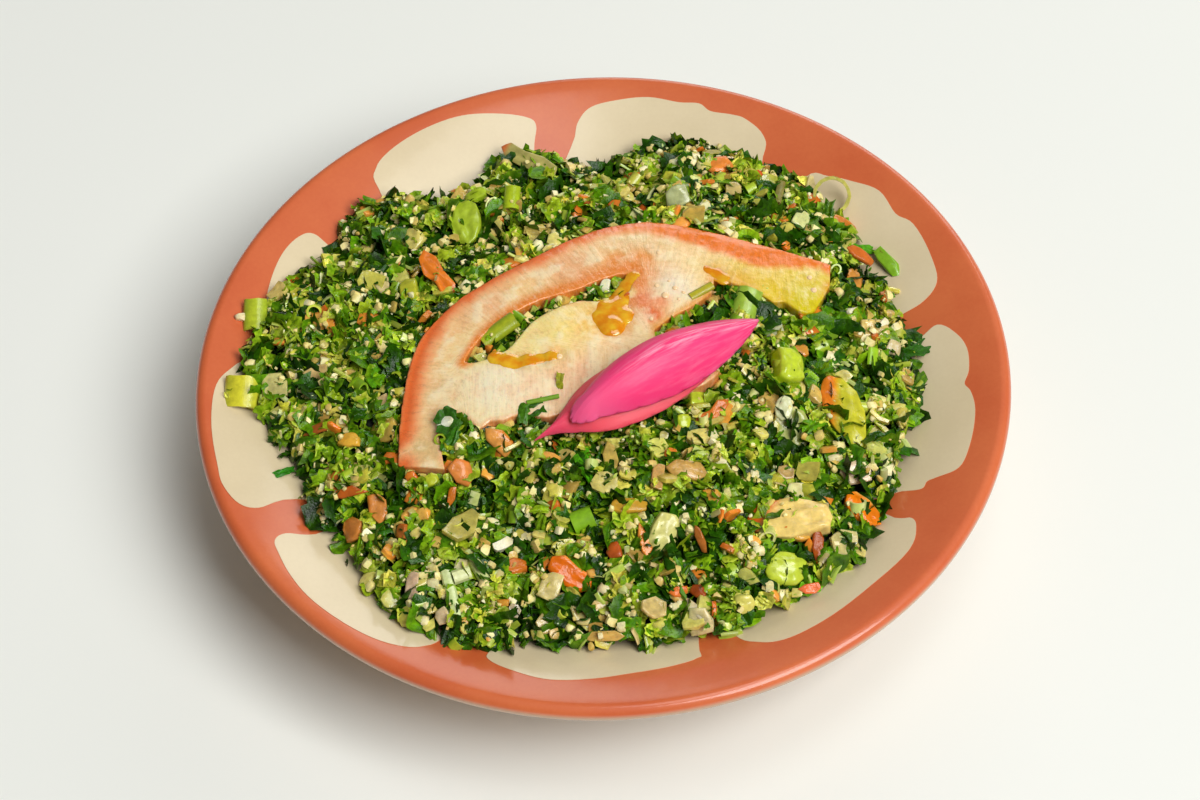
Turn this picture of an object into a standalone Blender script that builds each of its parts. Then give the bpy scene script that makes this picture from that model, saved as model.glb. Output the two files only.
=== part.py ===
"""Tabbouleh on a round earthenware dish: the dish, the heaped salad, the half slice of tomato
laid over it and two petals of pickled onion on top.

Metres, +Z up. The origin is the centre of the dish's foot, on the table. +X is to the right and
-Y towards the eater.
"""

import math

import bmesh
import bpy
from mathutils import Vector, noise

MM = 0.001

# Dish: a shallow coupe dish on a turned foot.
DISH_RADIUS = 84.6 * MM
DISH_FLOOR = 8.0 * MM  # height of the inside floor
DISH_FLOOR_RADIUS = 26.0 * MM  # where the floor begins to curve up
DISH_CURVE_END = 44.0 * MM  # where the straight flare begins
DISH_FLARE = math.radians(27.0)
DISH_EASE_START = 62.0 * MM  # from here the flare flattens towards the lip
LIP_FLARE = math.radians(17.0)
LIP_ROUND = 1.9 * MM  # radius of the rounded lip
DISH_WALL = 4.2 * MM
THIN_START = 72.0 * MM  # outside this the wall thins towards the lip
FOOT_RADIUS = 34.0 * MM
FOOT_WIDTH = 5.0 * MM
FOOT_CHAMFER = 0.7 * MM
FOOT_NECK = 1.4 * MM  # how far the foot's outside leans out where it meets the wall
FOOT_RECESS = 3.2 * MM  # height of the hollow inside the foot ring
ROUND_STEPS = 64  # sides of everything turned about Z
CURVE_STEPS, EASE_STEPS, LIP_STEPS = 4, 3, 5  # steps of the profile's curves

# Salad: a low mound that reaches unevenly up the flare of the dish.
HEAP_TOP = 36.0 * MM
BED_CURVE = 230.0 * MM  # radius of the broad dome that the tomato is pressed onto
HEAP_CURVE = 420.0 * MM  # radius of the loose salad's top, which stays fuller further out
HEAP_EDGE_POWER = 3.4  # how far out the mound stays full
HEAP_EDGE_ROUND = 0.5
HEAP_GAP = 0.4 * MM
HEAP_RINGS = 28
# How far the mound reaches from the centre, every 15 degrees anticlockwise from +X.
HEAP_REACH = [
    reach * MM
    for reach in (67, 66, 67, 70, 69, 70, 61, 68, 62, 72, 69, 75, 76, 68, 67, 70, 73, 69, 67, 68, 69, 69, 67, 66)
]
LUMP_SIZE, LUMP_HEIGHT = 14.0 * MM, 5.2 * MM
TUFT_SIZE, TUFT_HEIGHT = 6.5 * MM, 2.6 * MM
EDGE_TUFT = 3.0 * MM  # how much the outline wanders between its given reaches

# Half slice of tomato, draped on its bed of salad.
SLICE_THICKNESS = 3.2 * MM
TOUCH_GAP = 0.3 * MM
SLICE_CELL = 9.0 * MM  # the slice bends between cuts this far apart
PRESSED_MARGIN = 3.0 * MM  # salad is pressed flat this far round the slice
LOOSE_MARGIN = 11.0 * MM  # and is back to its full relief here
# The skin, seen from above, from the left cut end over the top to the right cut end.
SKIN_RUN = (
    (-40.6, -27.3), (-40.3, -19.0), (-39.4, -9.8), (-37.6, -0.6), (-33.8, 7.8), (-28.2, 14.2),
    (-14.0, 23.3), (-1.0, 30.6), (10.5, 33.2), (21.0, 31.2), (33.0, 27.4), (49.2, 22.4),
)
# The wet inner edges: round the open seed chamber on the right, under the onion, and back along
# the bottom to the small open chamber on the left.
RIGHT_WALL_RUN = (
    (48.5, 16.0), (44.4, 8.0), (41.1, 7.8), (38.4, 10.2), (36.0, 9.9), (32.6, 12.9), (28.1, 14.7), (24.0, 16.1),
)
RIGHT_RIB_RUN = ((24.0, 16.1), (23.4, 12.0), (18.8, 7.6), (11.0, 1.4), (14.0, -5.5), (23.8, -9.4))
BOTTOM_RUN = (
    (23.8, -9.4), (20.4, -12.8), (14.0, -14.8), (6.0, -16.6), (-7.0, -18.4), (-11.5, -19.7),
    (-16.5, -18.3), (-20.5, -19.6), (-23.0, -19.3), (-25.2, -21.0), (-28.1, -17.4),
)
LEFT_WALL_RUN = ((-28.1, -17.4), (-31.4, -16.0), (-33.4, -19.4), (-33.0, -24.2), (-32.2, -29.4))
# The closed seed chamber, a crescent inside the wall.
CHAMBER_RUN = (
    (-28.2, -4.0), (-24.5, 2.2), (-20.0, 6.2), (-14.9, 9.6), (-9.8, 11.7), (-4.0, 13.4), (0.6, 15.9), (6.7, 17.3),
    (6.4, 12.4), (2.2, 9.4), (-4.0, 10.0), (-10.2, 7.4), (-14.4, 4.3), (-17.2, 0.6), (-19.4, -2.0), (-23.9, -4.0),
)

# Pickled onion petals, each from its blunt left end to its right tip.
OUTER_PETAL = {"left": (-15.5, -26.4), "right": (28.5, -1.8), "half_width": 8.2, "arch": 2.6, "wall": 1.6, "tail": 0.75}
INNER_PETAL = {"left": (-8.2, -24.6), "right": (33.8, 2.9), "half_width": 7.4, "arch": 3.4, "wall": 2.2, "tail": 0.0}
PETAL_EDGE = 0.45  # the rim's share of a petal's full wall
PETAL_STEPS, PETAL_RINGS = 28, 10


def collection(name):
    made = bpy.data.collections.new(name)
    bpy.context.scene.collection.children.link(made)
    return made


def material(name, colour, roughness):
    made = bpy.data.materials.new(name)
    made.use_nodes = True
    shader = made.node_tree.nodes["Principled BSDF"]
    shader.inputs["Base Color"].default_value = (*colour, 1.0)
    shader.inputs["Roughness"].default_value = roughness
    shader.inputs["Metallic"].default_value = 0.0
    return made


def keep(ob, name, group, finish):
    """Names the object, gives it its finish and moves it to the part's own collection."""
    ob.name = ob.data.name = name
    ob.data.materials.clear()
    ob.data.materials.append(finish)
    for owner in list(ob.users_collection):
        owner.objects.unlink(ob)
    group.objects.link(ob)
    return ob


def through(points, steps, closed=False):
    """A smooth run (Catmull-Rom) through the points, with so many steps between two of them."""
    points = [Vector(p) for p in points]
    count = len(points)
    spans = count if closed else count - 1

    def point(index):
        return points[index % count] if closed else points[min(max(index, 0), count - 1)]

    run = []
    for span in range(spans):
        before, start, end, after = (point(span + k) for k in (-1, 0, 1, 2))
        for step in range(steps):
            t = step / steps
            run.append(
                0.5
                * (
                    2 * start
                    + (end - before) * t
                    + (2 * before - 5 * start + 4 * end - after) * t * t
                    + (3 * start - before - 3 * end + after) * t**3
                )
            )
    return run if closed else run + [points[-1]]


def smoothstep(low, high, value):
    t = min(max((value - low) / (high - low), 0.0), 1.0)
    return t * t * (3 - 2 * t)


# Dish


def inside_height(radius):
    """Height of the inside: a flat floor, a curve up, a straight flare and an easing to the lip."""
    bend = (DISH_CURVE_END - DISH_FLOOR_RADIUS) / math.sin(DISH_FLARE)
    if radius <= DISH_FLOOR_RADIUS:
        return DISH_FLOOR
    if radius <= DISH_CURVE_END:
        return DISH_FLOOR + bend - math.sqrt(bend**2 - (radius - DISH_FLOOR_RADIUS) ** 2)
    curve_top = DISH_FLOOR + bend * (1 - math.cos(DISH_FLARE))
    height = curve_top + (radius - DISH_CURVE_END) * math.tan(DISH_FLARE)
    if radius > DISH_EASE_START:
        span = DISH_RADIUS - LIP_ROUND - DISH_EASE_START
        slowing = (math.tan(DISH_FLARE) - math.tan(LIP_FLARE)) / span
        height -= slowing * (radius - DISH_EASE_START) ** 2 / 2
    return height


def dish_profile():
    """(radius, height) from the middle of the inside, over the lip, and down to the foot."""
    inside = [(0.0, DISH_FLOOR), (DISH_FLOOR_RADIUS / 2, DISH_FLOOR)]
    for step in range(CURVE_STEPS + 1):
        radius = DISH_FLOOR_RADIUS + (DISH_CURVE_END - DISH_FLOOR_RADIUS) * step / CURVE_STEPS
        inside.append((radius, inside_height(radius)))
    lip_inner = DISH_RADIUS - LIP_ROUND * (1 + math.sin(LIP_FLARE))
    for step in range(EASE_STEPS):
        radius = DISH_EASE_START + (lip_inner - DISH_EASE_START) * step / EASE_STEPS
        inside.append((radius, inside_height(radius)))

    # The lip is a half round that the inside runs into and the outside runs out of.
    lip_centre = Vector((DISH_RADIUS - LIP_ROUND, inside_height(lip_inner) - LIP_ROUND * math.cos(LIP_FLARE)))
    lip = []
    for step in range(LIP_STEPS + 1):
        angle = math.pi / 2 + LIP_FLARE - math.pi * step / LIP_STEPS
        lip.append(tuple(lip_centre + LIP_ROUND * Vector((math.cos(angle), math.sin(angle)))))

    # The outside follows the inside, a wall's thickness below it.
    drop = DISH_WALL / math.cos(DISH_FLARE)
    outside = [(radius, inside_height(radius) - drop) for radius in (THIN_START, DISH_EASE_START, DISH_CURVE_END)]
    foot_inner = FOOT_RADIUS - FOOT_WIDTH
    neck_height = inside_height(FOOT_RADIUS) - DISH_WALL - FOOT_CHAMFER
    foot = [
        (FOOT_RADIUS + FOOT_NECK, neck_height),
        (FOOT_RADIUS, FOOT_CHAMFER),
        (FOOT_RADIUS - FOOT_CHAMFER, 0.0),
        (foot_inner + FOOT_CHAMFER, 0.0),
        (foot_inner, FOOT_CHAMFER),
        (foot_inner - FOOT_CHAMFER, FOOT_RECESS),
        (0.0, FOOT_RECESS),
    ]
    return inside + lip + outside + foot


def make_dish(group, finish):
    """The profile turned about Z."""
    mesh = bpy.data.meshes.new("dish_profile")
    points = [(radius, 0.0, height) for radius, height in dish_profile()]
    mesh.from_pydata(points, [(k, k + 1) for k in range(len(points) - 1)], [])
    ob = bpy.data.objects.new("dish", mesh)
    group.objects.link(ob)
    turn = ob.modifiers.new("turn", "SCREW")
    turn.steps = turn.render_steps = ROUND_STEPS
    turn.use_merge_vertices = True
    turn.merge_threshold = 0.02 * MM
    turn.use_smooth_shade = True
    return keep(ob, "dish", group, finish)


# Salad


def bed(x, y):
    """The broad, smooth top that the tomato lies on."""
    return HEAP_TOP - (x * x + y * y) / (2 * BED_CURVE)


def heap_reach(angle):
    """The mound's reach from the centre in a direction, with small tufts between the given reaches."""
    place = (angle / math.tau) % 1.0 * len(HEAP_REACH)
    index, t = int(place), place - int(place)
    before, start, end, after = (HEAP_REACH[(index + k) % len(HEAP_REACH)] for k in (-1, 0, 1, 2))
    smooth = 0.5 * (
        2 * start
        + (end - before) * t
        + (2 * before - 5 * start + 4 * end - after) * t * t
        + (3 * start - before - 3 * end + after) * t**3
    )
    tuft = noise.noise(Vector((math.cos(angle) * 7, math.sin(angle) * 7, 3.0)))
    return smooth + tuft * EDGE_TUFT


def distance_to(outline, x, y):
    """How far (x, y) is outside a closed outline; 0 inside it."""
    here = Vector((x, y))
    inside, nearest = False, 1.0
    for start, end in zip(outline, outline[1:] + outline[:1]):
        along = end - start
        t = min(max((here - start).dot(along) / along.length_squared, 0.0), 1.0)
        nearest = min(nearest, (here - start - along * t).length)
        if (start.y > y) != (end.y > y) and x < start.x + along.x * (y - start.y) / along.y:
            inside = not inside
    return 0.0 if inside else nearest


def heap_relief(x, y):
    """Lumps and tufts of salad, up and down about the mound."""
    lump = noise.noise(Vector((x / LUMP_SIZE, y / LUMP_SIZE, 11.0)))
    tuft = noise.noise(Vector((x / TUFT_SIZE, y / TUFT_SIZE, 23.0)))
    return lump * LUMP_HEIGHT + tuft * TUFT_HEIGHT


def make_heap(group, finish, slice_outline):
    """A sphere whose upper half becomes the mound and whose lower half lies in the dish."""
    bpy.ops.mesh.primitive_uv_sphere_add(segments=ROUND_STEPS, ring_count=HEAP_RINGS, radius=1.0)
    ob = bpy.context.object
    for vertex in ob.data.vertices:
        upper = vertex.co.z > 1e-4
        share = math.acos(min(abs(vertex.co.z), 1.0)) / (math.pi / 2)
        angle = math.atan2(vertex.co.y, vertex.co.x)
        reach = heap_reach(angle)
        radius = reach * share
        x, y = radius * math.cos(angle), radius * math.sin(angle)
        if not upper:
            vertex.co = (x, y, inside_height(radius) + HEAP_GAP)
            continue
        edge = inside_height(reach) + HEAP_GAP
        fullness = (1 - share**HEAP_EDGE_POWER) ** HEAP_EDGE_ROUND
        top = HEAP_TOP - radius**2 / (2 * HEAP_CURVE)
        relief = heap_relief(x, y) * (1 - share**5)
        loose = edge + (top - edge) * fullness + relief
        away = distance_to(slice_outline, x, y)
        looseness = smoothstep(PRESSED_MARGIN, LOOSE_MARGIN, away)
        vertex.co = (x, y, bed(x, y) + (loose - bed(x, y)) * looseness)
    ob.data.shade_smooth()
    return keep(ob, "salad_heap", group, finish)


# Tomato


def slice_outlines():
    """The slice's outer edge and its seed chamber, as closed runs of points in metres."""
    outer = []
    for run, steps in (
        (SKIN_RUN, 3), (RIGHT_WALL_RUN, 2), (RIGHT_RIB_RUN, 2), (BOTTOM_RUN, 2), (LEFT_WALL_RUN, 2),
    ):
        points = through(run, steps)
        if outer and (points[0] - outer[-1]).length < 0.01:
            points = points[1:]
        outer += points
    chamber = through(CHAMBER_RUN, 2, closed=True)
    return [p * MM for p in outer], [p * MM for p in chamber]


def make_tomato(group, finish, outlines):
    """A flat outline with its hole, extruded, cut into cells and draped over its bed."""
    curve = bpy.data.curves.new("slice_outline", "CURVE")
    curve.dimensions = "2D"
    curve.fill_mode = "BOTH"
    curve.extrude = SLICE_THICKNESS / 2
    for outline in outlines:
        spline = curve.splines.new("POLY")
        spline.points.add(len(outline) - 1)
        for point, place in zip(spline.points, outline):
            point.co = (place.x, place.y, 0.0, 1.0)
        spline.use_cyclic_u = True
    flat = bpy.data.objects.new("slice_outline", curve)
    bpy.context.scene.collection.objects.link(flat)
    bpy.context.view_layer.update()
    evaluated = flat.evaluated_get(bpy.context.evaluated_depsgraph_get())
    mesh = bpy.data.meshes.new_from_object(evaluated)
    bpy.data.objects.remove(flat)

    shape = bmesh.new()
    shape.from_mesh(mesh)
    bmesh.ops.remove_doubles(shape, verts=shape.verts, dist=0.01 * MM)
    for normal in ((1, 0, 0), (0, 1, 0)):
        for step in range(-5, 6):
            everything = shape.verts[:] + shape.edges[:] + shape.faces[:]
            place = Vector(normal) * step * SLICE_CELL
            bmesh.ops.bisect_plane(shape, geom=everything, dist=0.001 * MM, plane_co=place, plane_no=normal)
    for vertex in shape.verts:
        lift = vertex.co.z + SLICE_THICKNESS / 2
        vertex.co.z = bed(vertex.co.x, vertex.co.y) + TOUCH_GAP + lift
    bmesh.ops.recalc_face_normals(shape, faces=shape.faces)
    shape.to_mesh(mesh)
    shape.free()
    ob = bpy.data.objects.new("tomato_slice", mesh)
    group.objects.link(ob)
    return keep(ob, "tomato_slice", group, finish)


# Onion


def petal_frame(petal):
    """The petal's middle, the direction along it and its half length."""
    left, right = Vector(petal["left"]) * MM, Vector(petal["right"]) * MM
    along = right - left
    return (left + right) / 2, along.normalized(), along.length / 2


def petal_shape(petal, x, y):
    """(along, across) of a point of the plan in the petal's own outline, both -1 to 1 inside it."""
    middle, along, half_length = petal_frame(petal)
    offset = Vector((x, y)) - middle
    share = offset.dot(along) / half_length
    side = offset.dot(Vector((-along.y, along.x))) / petal_half_width(petal, share)
    return share, side


def petal_half_width(petal, share):
    """Half the width at a share of the length, -1 at the left end; a tail narrows that end."""
    fullness = max(1 - share**2, 0.0)
    narrowing = 1 - petal["tail"] * smoothstep(-0.35, -0.95, share)
    return max(petal["half_width"] * MM * fullness * narrowing, 0.2 * MM)


def over_slice(x, y):
    """Height of the slice's top, with the gap that touching pieces keep."""
    return bed(x, y) + TOUCH_GAP + SLICE_THICKNESS + TOUCH_GAP


def outer_petal_top(x, y):
    """Height of the outer petal's upper side above over_slice, level with its rim outside it."""
    share, side = petal_shape(OUTER_PETAL, x, y)
    crown = max(1 - share**2, 0.0) * max(1 - side**2, 0.0)
    return (OUTER_PETAL["arch"] * crown + OUTER_PETAL["wall"]) * MM


def make_petal(group, finish, name, petal, support):
    """A sphere pressed into a pointed, arched petal that lies on its support."""
    bpy.ops.mesh.primitive_uv_sphere_add(segments=PETAL_STEPS, ring_count=PETAL_RINGS, radius=1.0)
    ob = bpy.context.object
    middle, along, half_length = petal_frame(petal)
    across = Vector((-along.y, along.x))
    for vertex in ob.data.vertices:
        reach = math.acos(min(abs(vertex.co.z), 1.0)) / (math.pi / 2)
        angle = math.atan2(vertex.co.y, vertex.co.x)
        share, side = reach * math.cos(angle), reach * math.sin(angle)
        # At the outline side is sqrt(1 - share^2), which the second root turns into pointed ends.
        width = petal_half_width(petal, share) / math.sqrt(max(1 - share**2, 0.02))
        place = middle + along * share * half_length + across * side * width
        crown = (1 - share**2) * (1 - side**2 / max(1 - share**2, side**2, 0.02))
        wall = petal["wall"] * (PETAL_EDGE + (1 - PETAL_EDGE) * crown) * MM
        rise = petal["arch"] * crown * MM
        if vertex.co.z > 1e-4:
            rise += wall
        elif vertex.co.z > -1e-4:
            rise += wall / 2
        vertex.co = (place.x, place.y, support(place.x, place.y) + rise)
    ob.data.shade_smooth()
    return keep(ob, name, group, finish)


def main():
    for ob in list(bpy.data.objects):
        bpy.data.objects.remove(ob)
    group = collection("tabbouleh_salad")
    earthenware = material("glazed_earthenware", (0.57, 0.155, 0.065), 0.3)
    herbs = material("chopped_parsley", (0.035, 0.14, 0.015), 0.5)
    tomato = material("tomato_flesh", (0.80, 0.40, 0.20), 0.25)
    onion = material("pickled_onion", (0.80, 0.04, 0.22), 0.25)

    outlines = slice_outlines()
    make_dish(group, earthenware)
    make_heap(group, herbs, outlines[0])
    make_tomato(group, tomato, outlines)
    make_petal(group, onion, "onion_petal_outer", OUTER_PETAL, over_slice)
    make_petal(
        group,
        onion,
        "onion_petal_inner",
        INNER_PETAL,
        lambda x, y: over_slice(x, y) + outer_petal_top(x, y) + TOUCH_GAP,
    )


main()
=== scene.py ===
# %% [markdown]
# # Tabbouleh on a glazed earthenware dish
#
# A Lebanese starter: parsley chopped fine and dressed wet, with soaked bulgur, spring onion, onion
# and tomato, heaped on a small terracotta dish. Half a slice of tomato lies on the heap, with two
# petals of pickled onion on it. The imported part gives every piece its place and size. Here each
# plain solid gets its real surface, and the heap is built up again from thousands of loose bits.

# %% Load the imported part
import math

import bpy
import numpy as np
from mathutils import Matrix, Vector, noise
from mathutils.bvhtree import BVHTree


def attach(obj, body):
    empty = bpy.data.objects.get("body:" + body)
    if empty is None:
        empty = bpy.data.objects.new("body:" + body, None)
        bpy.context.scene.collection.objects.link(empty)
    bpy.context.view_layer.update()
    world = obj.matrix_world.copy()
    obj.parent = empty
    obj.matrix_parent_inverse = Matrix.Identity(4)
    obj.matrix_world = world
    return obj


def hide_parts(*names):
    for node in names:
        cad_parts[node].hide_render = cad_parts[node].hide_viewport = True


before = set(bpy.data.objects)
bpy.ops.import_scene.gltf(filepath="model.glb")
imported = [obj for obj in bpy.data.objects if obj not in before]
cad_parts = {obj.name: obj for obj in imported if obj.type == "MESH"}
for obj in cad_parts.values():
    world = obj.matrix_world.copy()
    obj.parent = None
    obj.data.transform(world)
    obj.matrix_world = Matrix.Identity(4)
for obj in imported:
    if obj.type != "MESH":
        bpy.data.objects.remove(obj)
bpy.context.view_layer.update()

MM = 0.001
rng = np.random.default_rng(29)
print("nodes:", sorted(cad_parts))

# %% [markdown]
# ## Camera
#
# The eater's view: from in front, a little over fifty degrees above the table, with a long lens
# so that the far and near rims stay close in size. The head is tilted by two degrees. Depth of
# field stays off, so that everything is sharp.

# %% Camera
AIM = Vector((-0.7, 2.0, 15.7)) * MM
VIEW_DISTANCE = 0.6  # m
VIEW_ELEVATION = math.radians(51.88)
VIEW_ROLL = math.radians(-2.24)
LENS, SENSOR = 84.9, 36.0  # mm

toward_eye = Vector((0, -math.cos(VIEW_ELEVATION), math.sin(VIEW_ELEVATION)))
level_right = Vector((1, 0, 0))
level_up = level_right.cross(-toward_eye)
view_right = level_right * math.cos(VIEW_ROLL) + level_up * math.sin(VIEW_ROLL)
view_up = level_up * math.cos(VIEW_ROLL) - level_right * math.sin(VIEW_ROLL)

camera = bpy.data.objects.new("camera", bpy.data.cameras.new("camera"))
camera.data.lens, camera.data.sensor_width = LENS, SENSOR
turn = Matrix((view_right, view_up, toward_eye)).transposed().to_4x4()
camera.matrix_world = Matrix.Translation(AIM + toward_eye * VIEW_DISTANCE) @ turn
bpy.context.scene.collection.objects.link(camera)
bpy.context.scene.camera = camera
print("camera at mm:", [round(v / MM) for v in camera.location])

# %% [markdown]
# ## Light
#
# A studio for food: one square softbox overhead, in front and to the right, and a pale room that
# fills the shadows. The softbox is broad enough to melt the edge of the dish's shadow, and small
# enough to leave sparks on wet leaves. A weak light right above lays a glare on the far glaze, and
# a low strip behind lays a sheen on the near glaze, as a window does.
# The Standard view transform keeps the colours as the materials give them.

# %% Light
# Each light has its place and its size in metres, and its power in watts.
KEY_PLACE, KEY_SIZE, KEY_POWER = Vector((1.02, -0.86, 1.70)), (1.25, 1.25), 44.0
TOP_PLACE, TOP_SIZE, TOP_POWER = Vector((0.25, 0.0, 1.28)), (0.5, 0.5), 2.6
STRIP_PLACE, STRIP_SIZE, STRIP_POWER = Vector((0.44, 1.42, 0.56)), (1.0, 0.7), 5.4
ROOM_COLOUR, ROOM_STRENGTH = (1.0, 1.0, 0.97), 0.115


def soft_light(name, place, size, power):
    """A flat light of this size in metres, turned to the dish and itself out of sight."""
    light = bpy.data.lights.new(name, "AREA")
    light.shape, light.size, light.size_y, light.energy = "RECTANGLE", *size, power
    ob = bpy.data.objects.new(name, light)
    ob.location = place
    ob.rotation_euler = place.to_track_quat("Z", "Y").to_euler()
    ob.visible_camera = False
    bpy.context.scene.collection.objects.link(ob)


soft_light("softbox", KEY_PLACE, KEY_SIZE, KEY_POWER)
soft_light("overhead_fill", TOP_PLACE, TOP_SIZE, TOP_POWER)
soft_light("back_strip", STRIP_PLACE, STRIP_SIZE, STRIP_POWER)

room = bpy.data.worlds.new("pale_room")
room.use_nodes = True
room.node_tree.nodes["Background"].inputs["Color"].default_value = (*ROOM_COLOUR, 1)
room.node_tree.nodes["Background"].inputs["Strength"].default_value = ROOM_STRENGTH
bpy.context.scene.world = room
bpy.context.scene.view_settings.view_transform = "Standard"
print("softbox covers", round(math.degrees(2 * math.atan(KEY_SIZE[0] / 2 / KEY_PLACE.length))), "degrees")

# %% [markdown]
# ## Small helpers
#
# Colours are written as the sRGB hex that a picker shows, and one function turns them to the
# linear values that shaders want. One function adds a shader node with its settings and links.
# The others select, join and name pieces, which every later cell needs.

# %% Helpers for colour and nodes
def linear(hex_colour):
    """The linear red, green and blue of an sRGB hex colour."""
    parts = [int(hex_colour[k : k + 2], 16) / 255 for k in (1, 3, 5)]
    return [p / 12.92 if p <= 0.04045 else ((p + 0.055) / 1.055) ** 2.4 for p in parts]


def add_node(material, kind, settings=None, links=None):
    """Adds a node. Settings are input values or properties; links are {input: (node, output)}."""
    tree = material.node_tree
    made = tree.nodes.new(kind)
    for name, value in (settings or {}).items():
        if isinstance(name, int) or name in made.inputs:
            made.inputs[name].default_value = value
        else:
            setattr(made, name, value)
    for name, (source, output) in (links or {}).items():
        tree.links.new(source.outputs[output], made.inputs[name])
    return made


def new_material(name, values):
    """A Principled material with these values on its sockets. Returns it and its shader."""
    material = bpy.data.materials.new(name)
    material.use_nodes = True
    shader = material.node_tree.nodes["Principled BSDF"]
    for socket, value in values.items():
        shader.inputs[socket].default_value = value
    return material, shader


# %% Helpers for pieces
def select_only(ob):
    """Deselects everything, then makes this object the only selected and active one."""
    bpy.ops.object.select_all(action="DESELECT")
    ob.select_set(True)
    bpy.context.view_layer.objects.active = ob


def edit(ob):
    """Enters edit mode on this object alone, with all of it selected."""
    select_only(ob)
    bpy.ops.object.mode_set(mode="EDIT")
    bpy.ops.mesh.select_all(action="SELECT")


def leave_edit():
    bpy.ops.object.mode_set(mode="OBJECT")


def begin(primitive, **settings):
    """Deselects everything, then adds a primitive with its settings and returns it."""
    bpy.ops.object.select_all(action="DESELECT")
    primitive(**settings)
    return bpy.context.object


def apply_modifier(ob, kind, **settings):
    """Adds a modifier with its settings and applies it."""
    select_only(ob)
    modifier = ob.modifiers.new(kind.lower(), kind)
    for name, value in settings.items():
        setattr(modifier, name, value)
    bpy.ops.object.modifier_apply(modifier=modifier.name)


CAD_WELD = 0.002 * MM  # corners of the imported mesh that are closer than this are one


def merged_copy(node, name):
    """A copy of a CAD node's mesh with its loose triangles joined, ready to be shaped."""
    ob = bpy.data.objects.new(name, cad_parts[node].data.copy())
    bpy.context.scene.collection.objects.link(ob)
    edit(ob)
    bpy.ops.mesh.remove_doubles(threshold=CAD_WELD)
    leave_edit()
    return ob


def finish_piece(ob, name, slot, material, *nodes):
    """Names a piece, gives it its material, ties it to the body and hides its nodes. The slot is not used.
    """
    ob.name = ob.data.name = name
    ob.data.materials.clear()
    ob.data.materials.append(material)
    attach(ob, "root")
    if nodes:
        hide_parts(*nodes)
    triangles = sum(len(face.vertices) - 2 for face in ob.data.polygons)
    print(f"{name}: {triangles} triangles")


# %% [markdown]
# ## Table
#
# A matt white studio sweep. A plane is enough, because the view looks down on it. Its surface is
# painted board: nearly white, a touch warm, with a faint unevenness that no one would notice.

# %% Table
TABLE_SIZE, TABLE_DROP = 4.0, 0.0002  # m; the drop keeps it from touching the foot ring
table = begin(bpy.ops.mesh.primitive_plane_add, size=TABLE_SIZE, location=(0, 0, -TABLE_DROP))
table.name = "table"
painted_board, board = new_material("painted_board", {"Roughness": 0.7, "Specular IOR Level": 0.25})
place = add_node(painted_board, "ShaderNodeTexCoord")
cloud = add_node(painted_board, "ShaderNodeTexNoise", {"Scale": 2.5}, {"Vector": (place, "Object")})
tone = add_node(painted_board, "ShaderNodeValToRGB", {}, {"Fac": (cloud, "Fac")})
tone.color_ramp.elements[0].color = (*linear("#eceee6"), 1)
tone.color_ramp.elements[1].color = (*linear("#f3f4ee"), 1)
painted_board.node_tree.links.new(tone.outputs["Color"], board.inputs["Base Color"])
table.data.materials.append(painted_board)
print("table:", TABLE_SIZE, "m across")

# %% [markdown]
# ## Dish
#
# A coupe dish thrown on a wheel, so it is a section turned about its axis: flat floor, a curve up,
# a flare that eases towards a half-round lip, and a turned foot. The section is drawn as a potter
# sees it, one vertex extruded step by step from the middle of the floor over the lip and down to
# the foot, and Spin turns it. The numbers are the same as the part's, with more steps.

# %% Section of the dish
# All lengths are in mm.
DISH_RADIUS, DISH_FLOOR, FLOOR_RADIUS, CURVE_END = 84.6, 8.0, 26.0, 44.0
FLARE, LIP_FLARE, EASE_START = math.radians(27), math.radians(17), 62.0
LIP_ROUND, LIP_STEPS, WALL = 1.9, 15, 4.2
THIN_START, THIN_END, THIN_SHARE = 72.0, 76.5, 0.28  # the share of its thickness that the wall loses
FOOT_RADIUS, FOOT_WIDTH, FOOT_CHAMFER, FOOT_NECK, FOOT_RECESS = 34.0, 5.0, 0.7, 1.4, 3.2
FOOT_SHOULDER, FOOT_EASE = 4.2, 0.2  # height of the foot, and how far its edges are eased


def inside_height(radius):
    """Height in mm of the dish's inside at a radius in mm; takes numbers or arrays."""
    bend = (CURVE_END - FLOOR_RADIUS) / math.sin(FLARE)
    rising = np.clip(radius - FLOOR_RADIUS, 0, CURVE_END - FLOOR_RADIUS)
    height = DISH_FLOOR + bend - np.sqrt(bend**2 - rising**2)
    height = height + np.clip(radius - CURVE_END, 0, None) * math.tan(FLARE)
    slowing = (math.tan(FLARE) - math.tan(LIP_FLARE)) / (DISH_RADIUS - LIP_ROUND - EASE_START)
    return height - slowing * np.clip(radius - EASE_START, 0, None) ** 2 / 2


lip_inner = DISH_RADIUS - LIP_ROUND * (1 + math.sin(LIP_FLARE))
inside_radii = [0, 8, 17, *np.linspace(FLOOR_RADIUS, CURVE_END, 13), *np.linspace(47, lip_inner, 19)]
section = [(r, float(inside_height(r))) for r in inside_radii]
lip_middle = (DISH_RADIUS - LIP_ROUND, float(inside_height(lip_inner)) - LIP_ROUND * math.cos(LIP_FLARE))
for share in np.linspace(0, 1, LIP_STEPS)[1:]:
    angle = math.pi / 2 + LIP_FLARE - math.pi * share
    way_out, way_up = LIP_ROUND * math.cos(angle), LIP_ROUND * math.sin(angle)
    section.append((lip_middle[0] + way_out, lip_middle[1] + way_up))
drop = WALL / math.cos(FLARE)
for radius in (THIN_END, THIN_START, 68, 65, EASE_START, 58, 53, 48, CURVE_END, 41, 38):
    thinning = 1 - THIN_SHARE * max(0, (radius - THIN_START) / (THIN_END - THIN_START))
    section.append((radius, float(inside_height(radius)) - drop * thinning))
foot_inner = FOOT_RADIUS - FOOT_WIDTH
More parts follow.
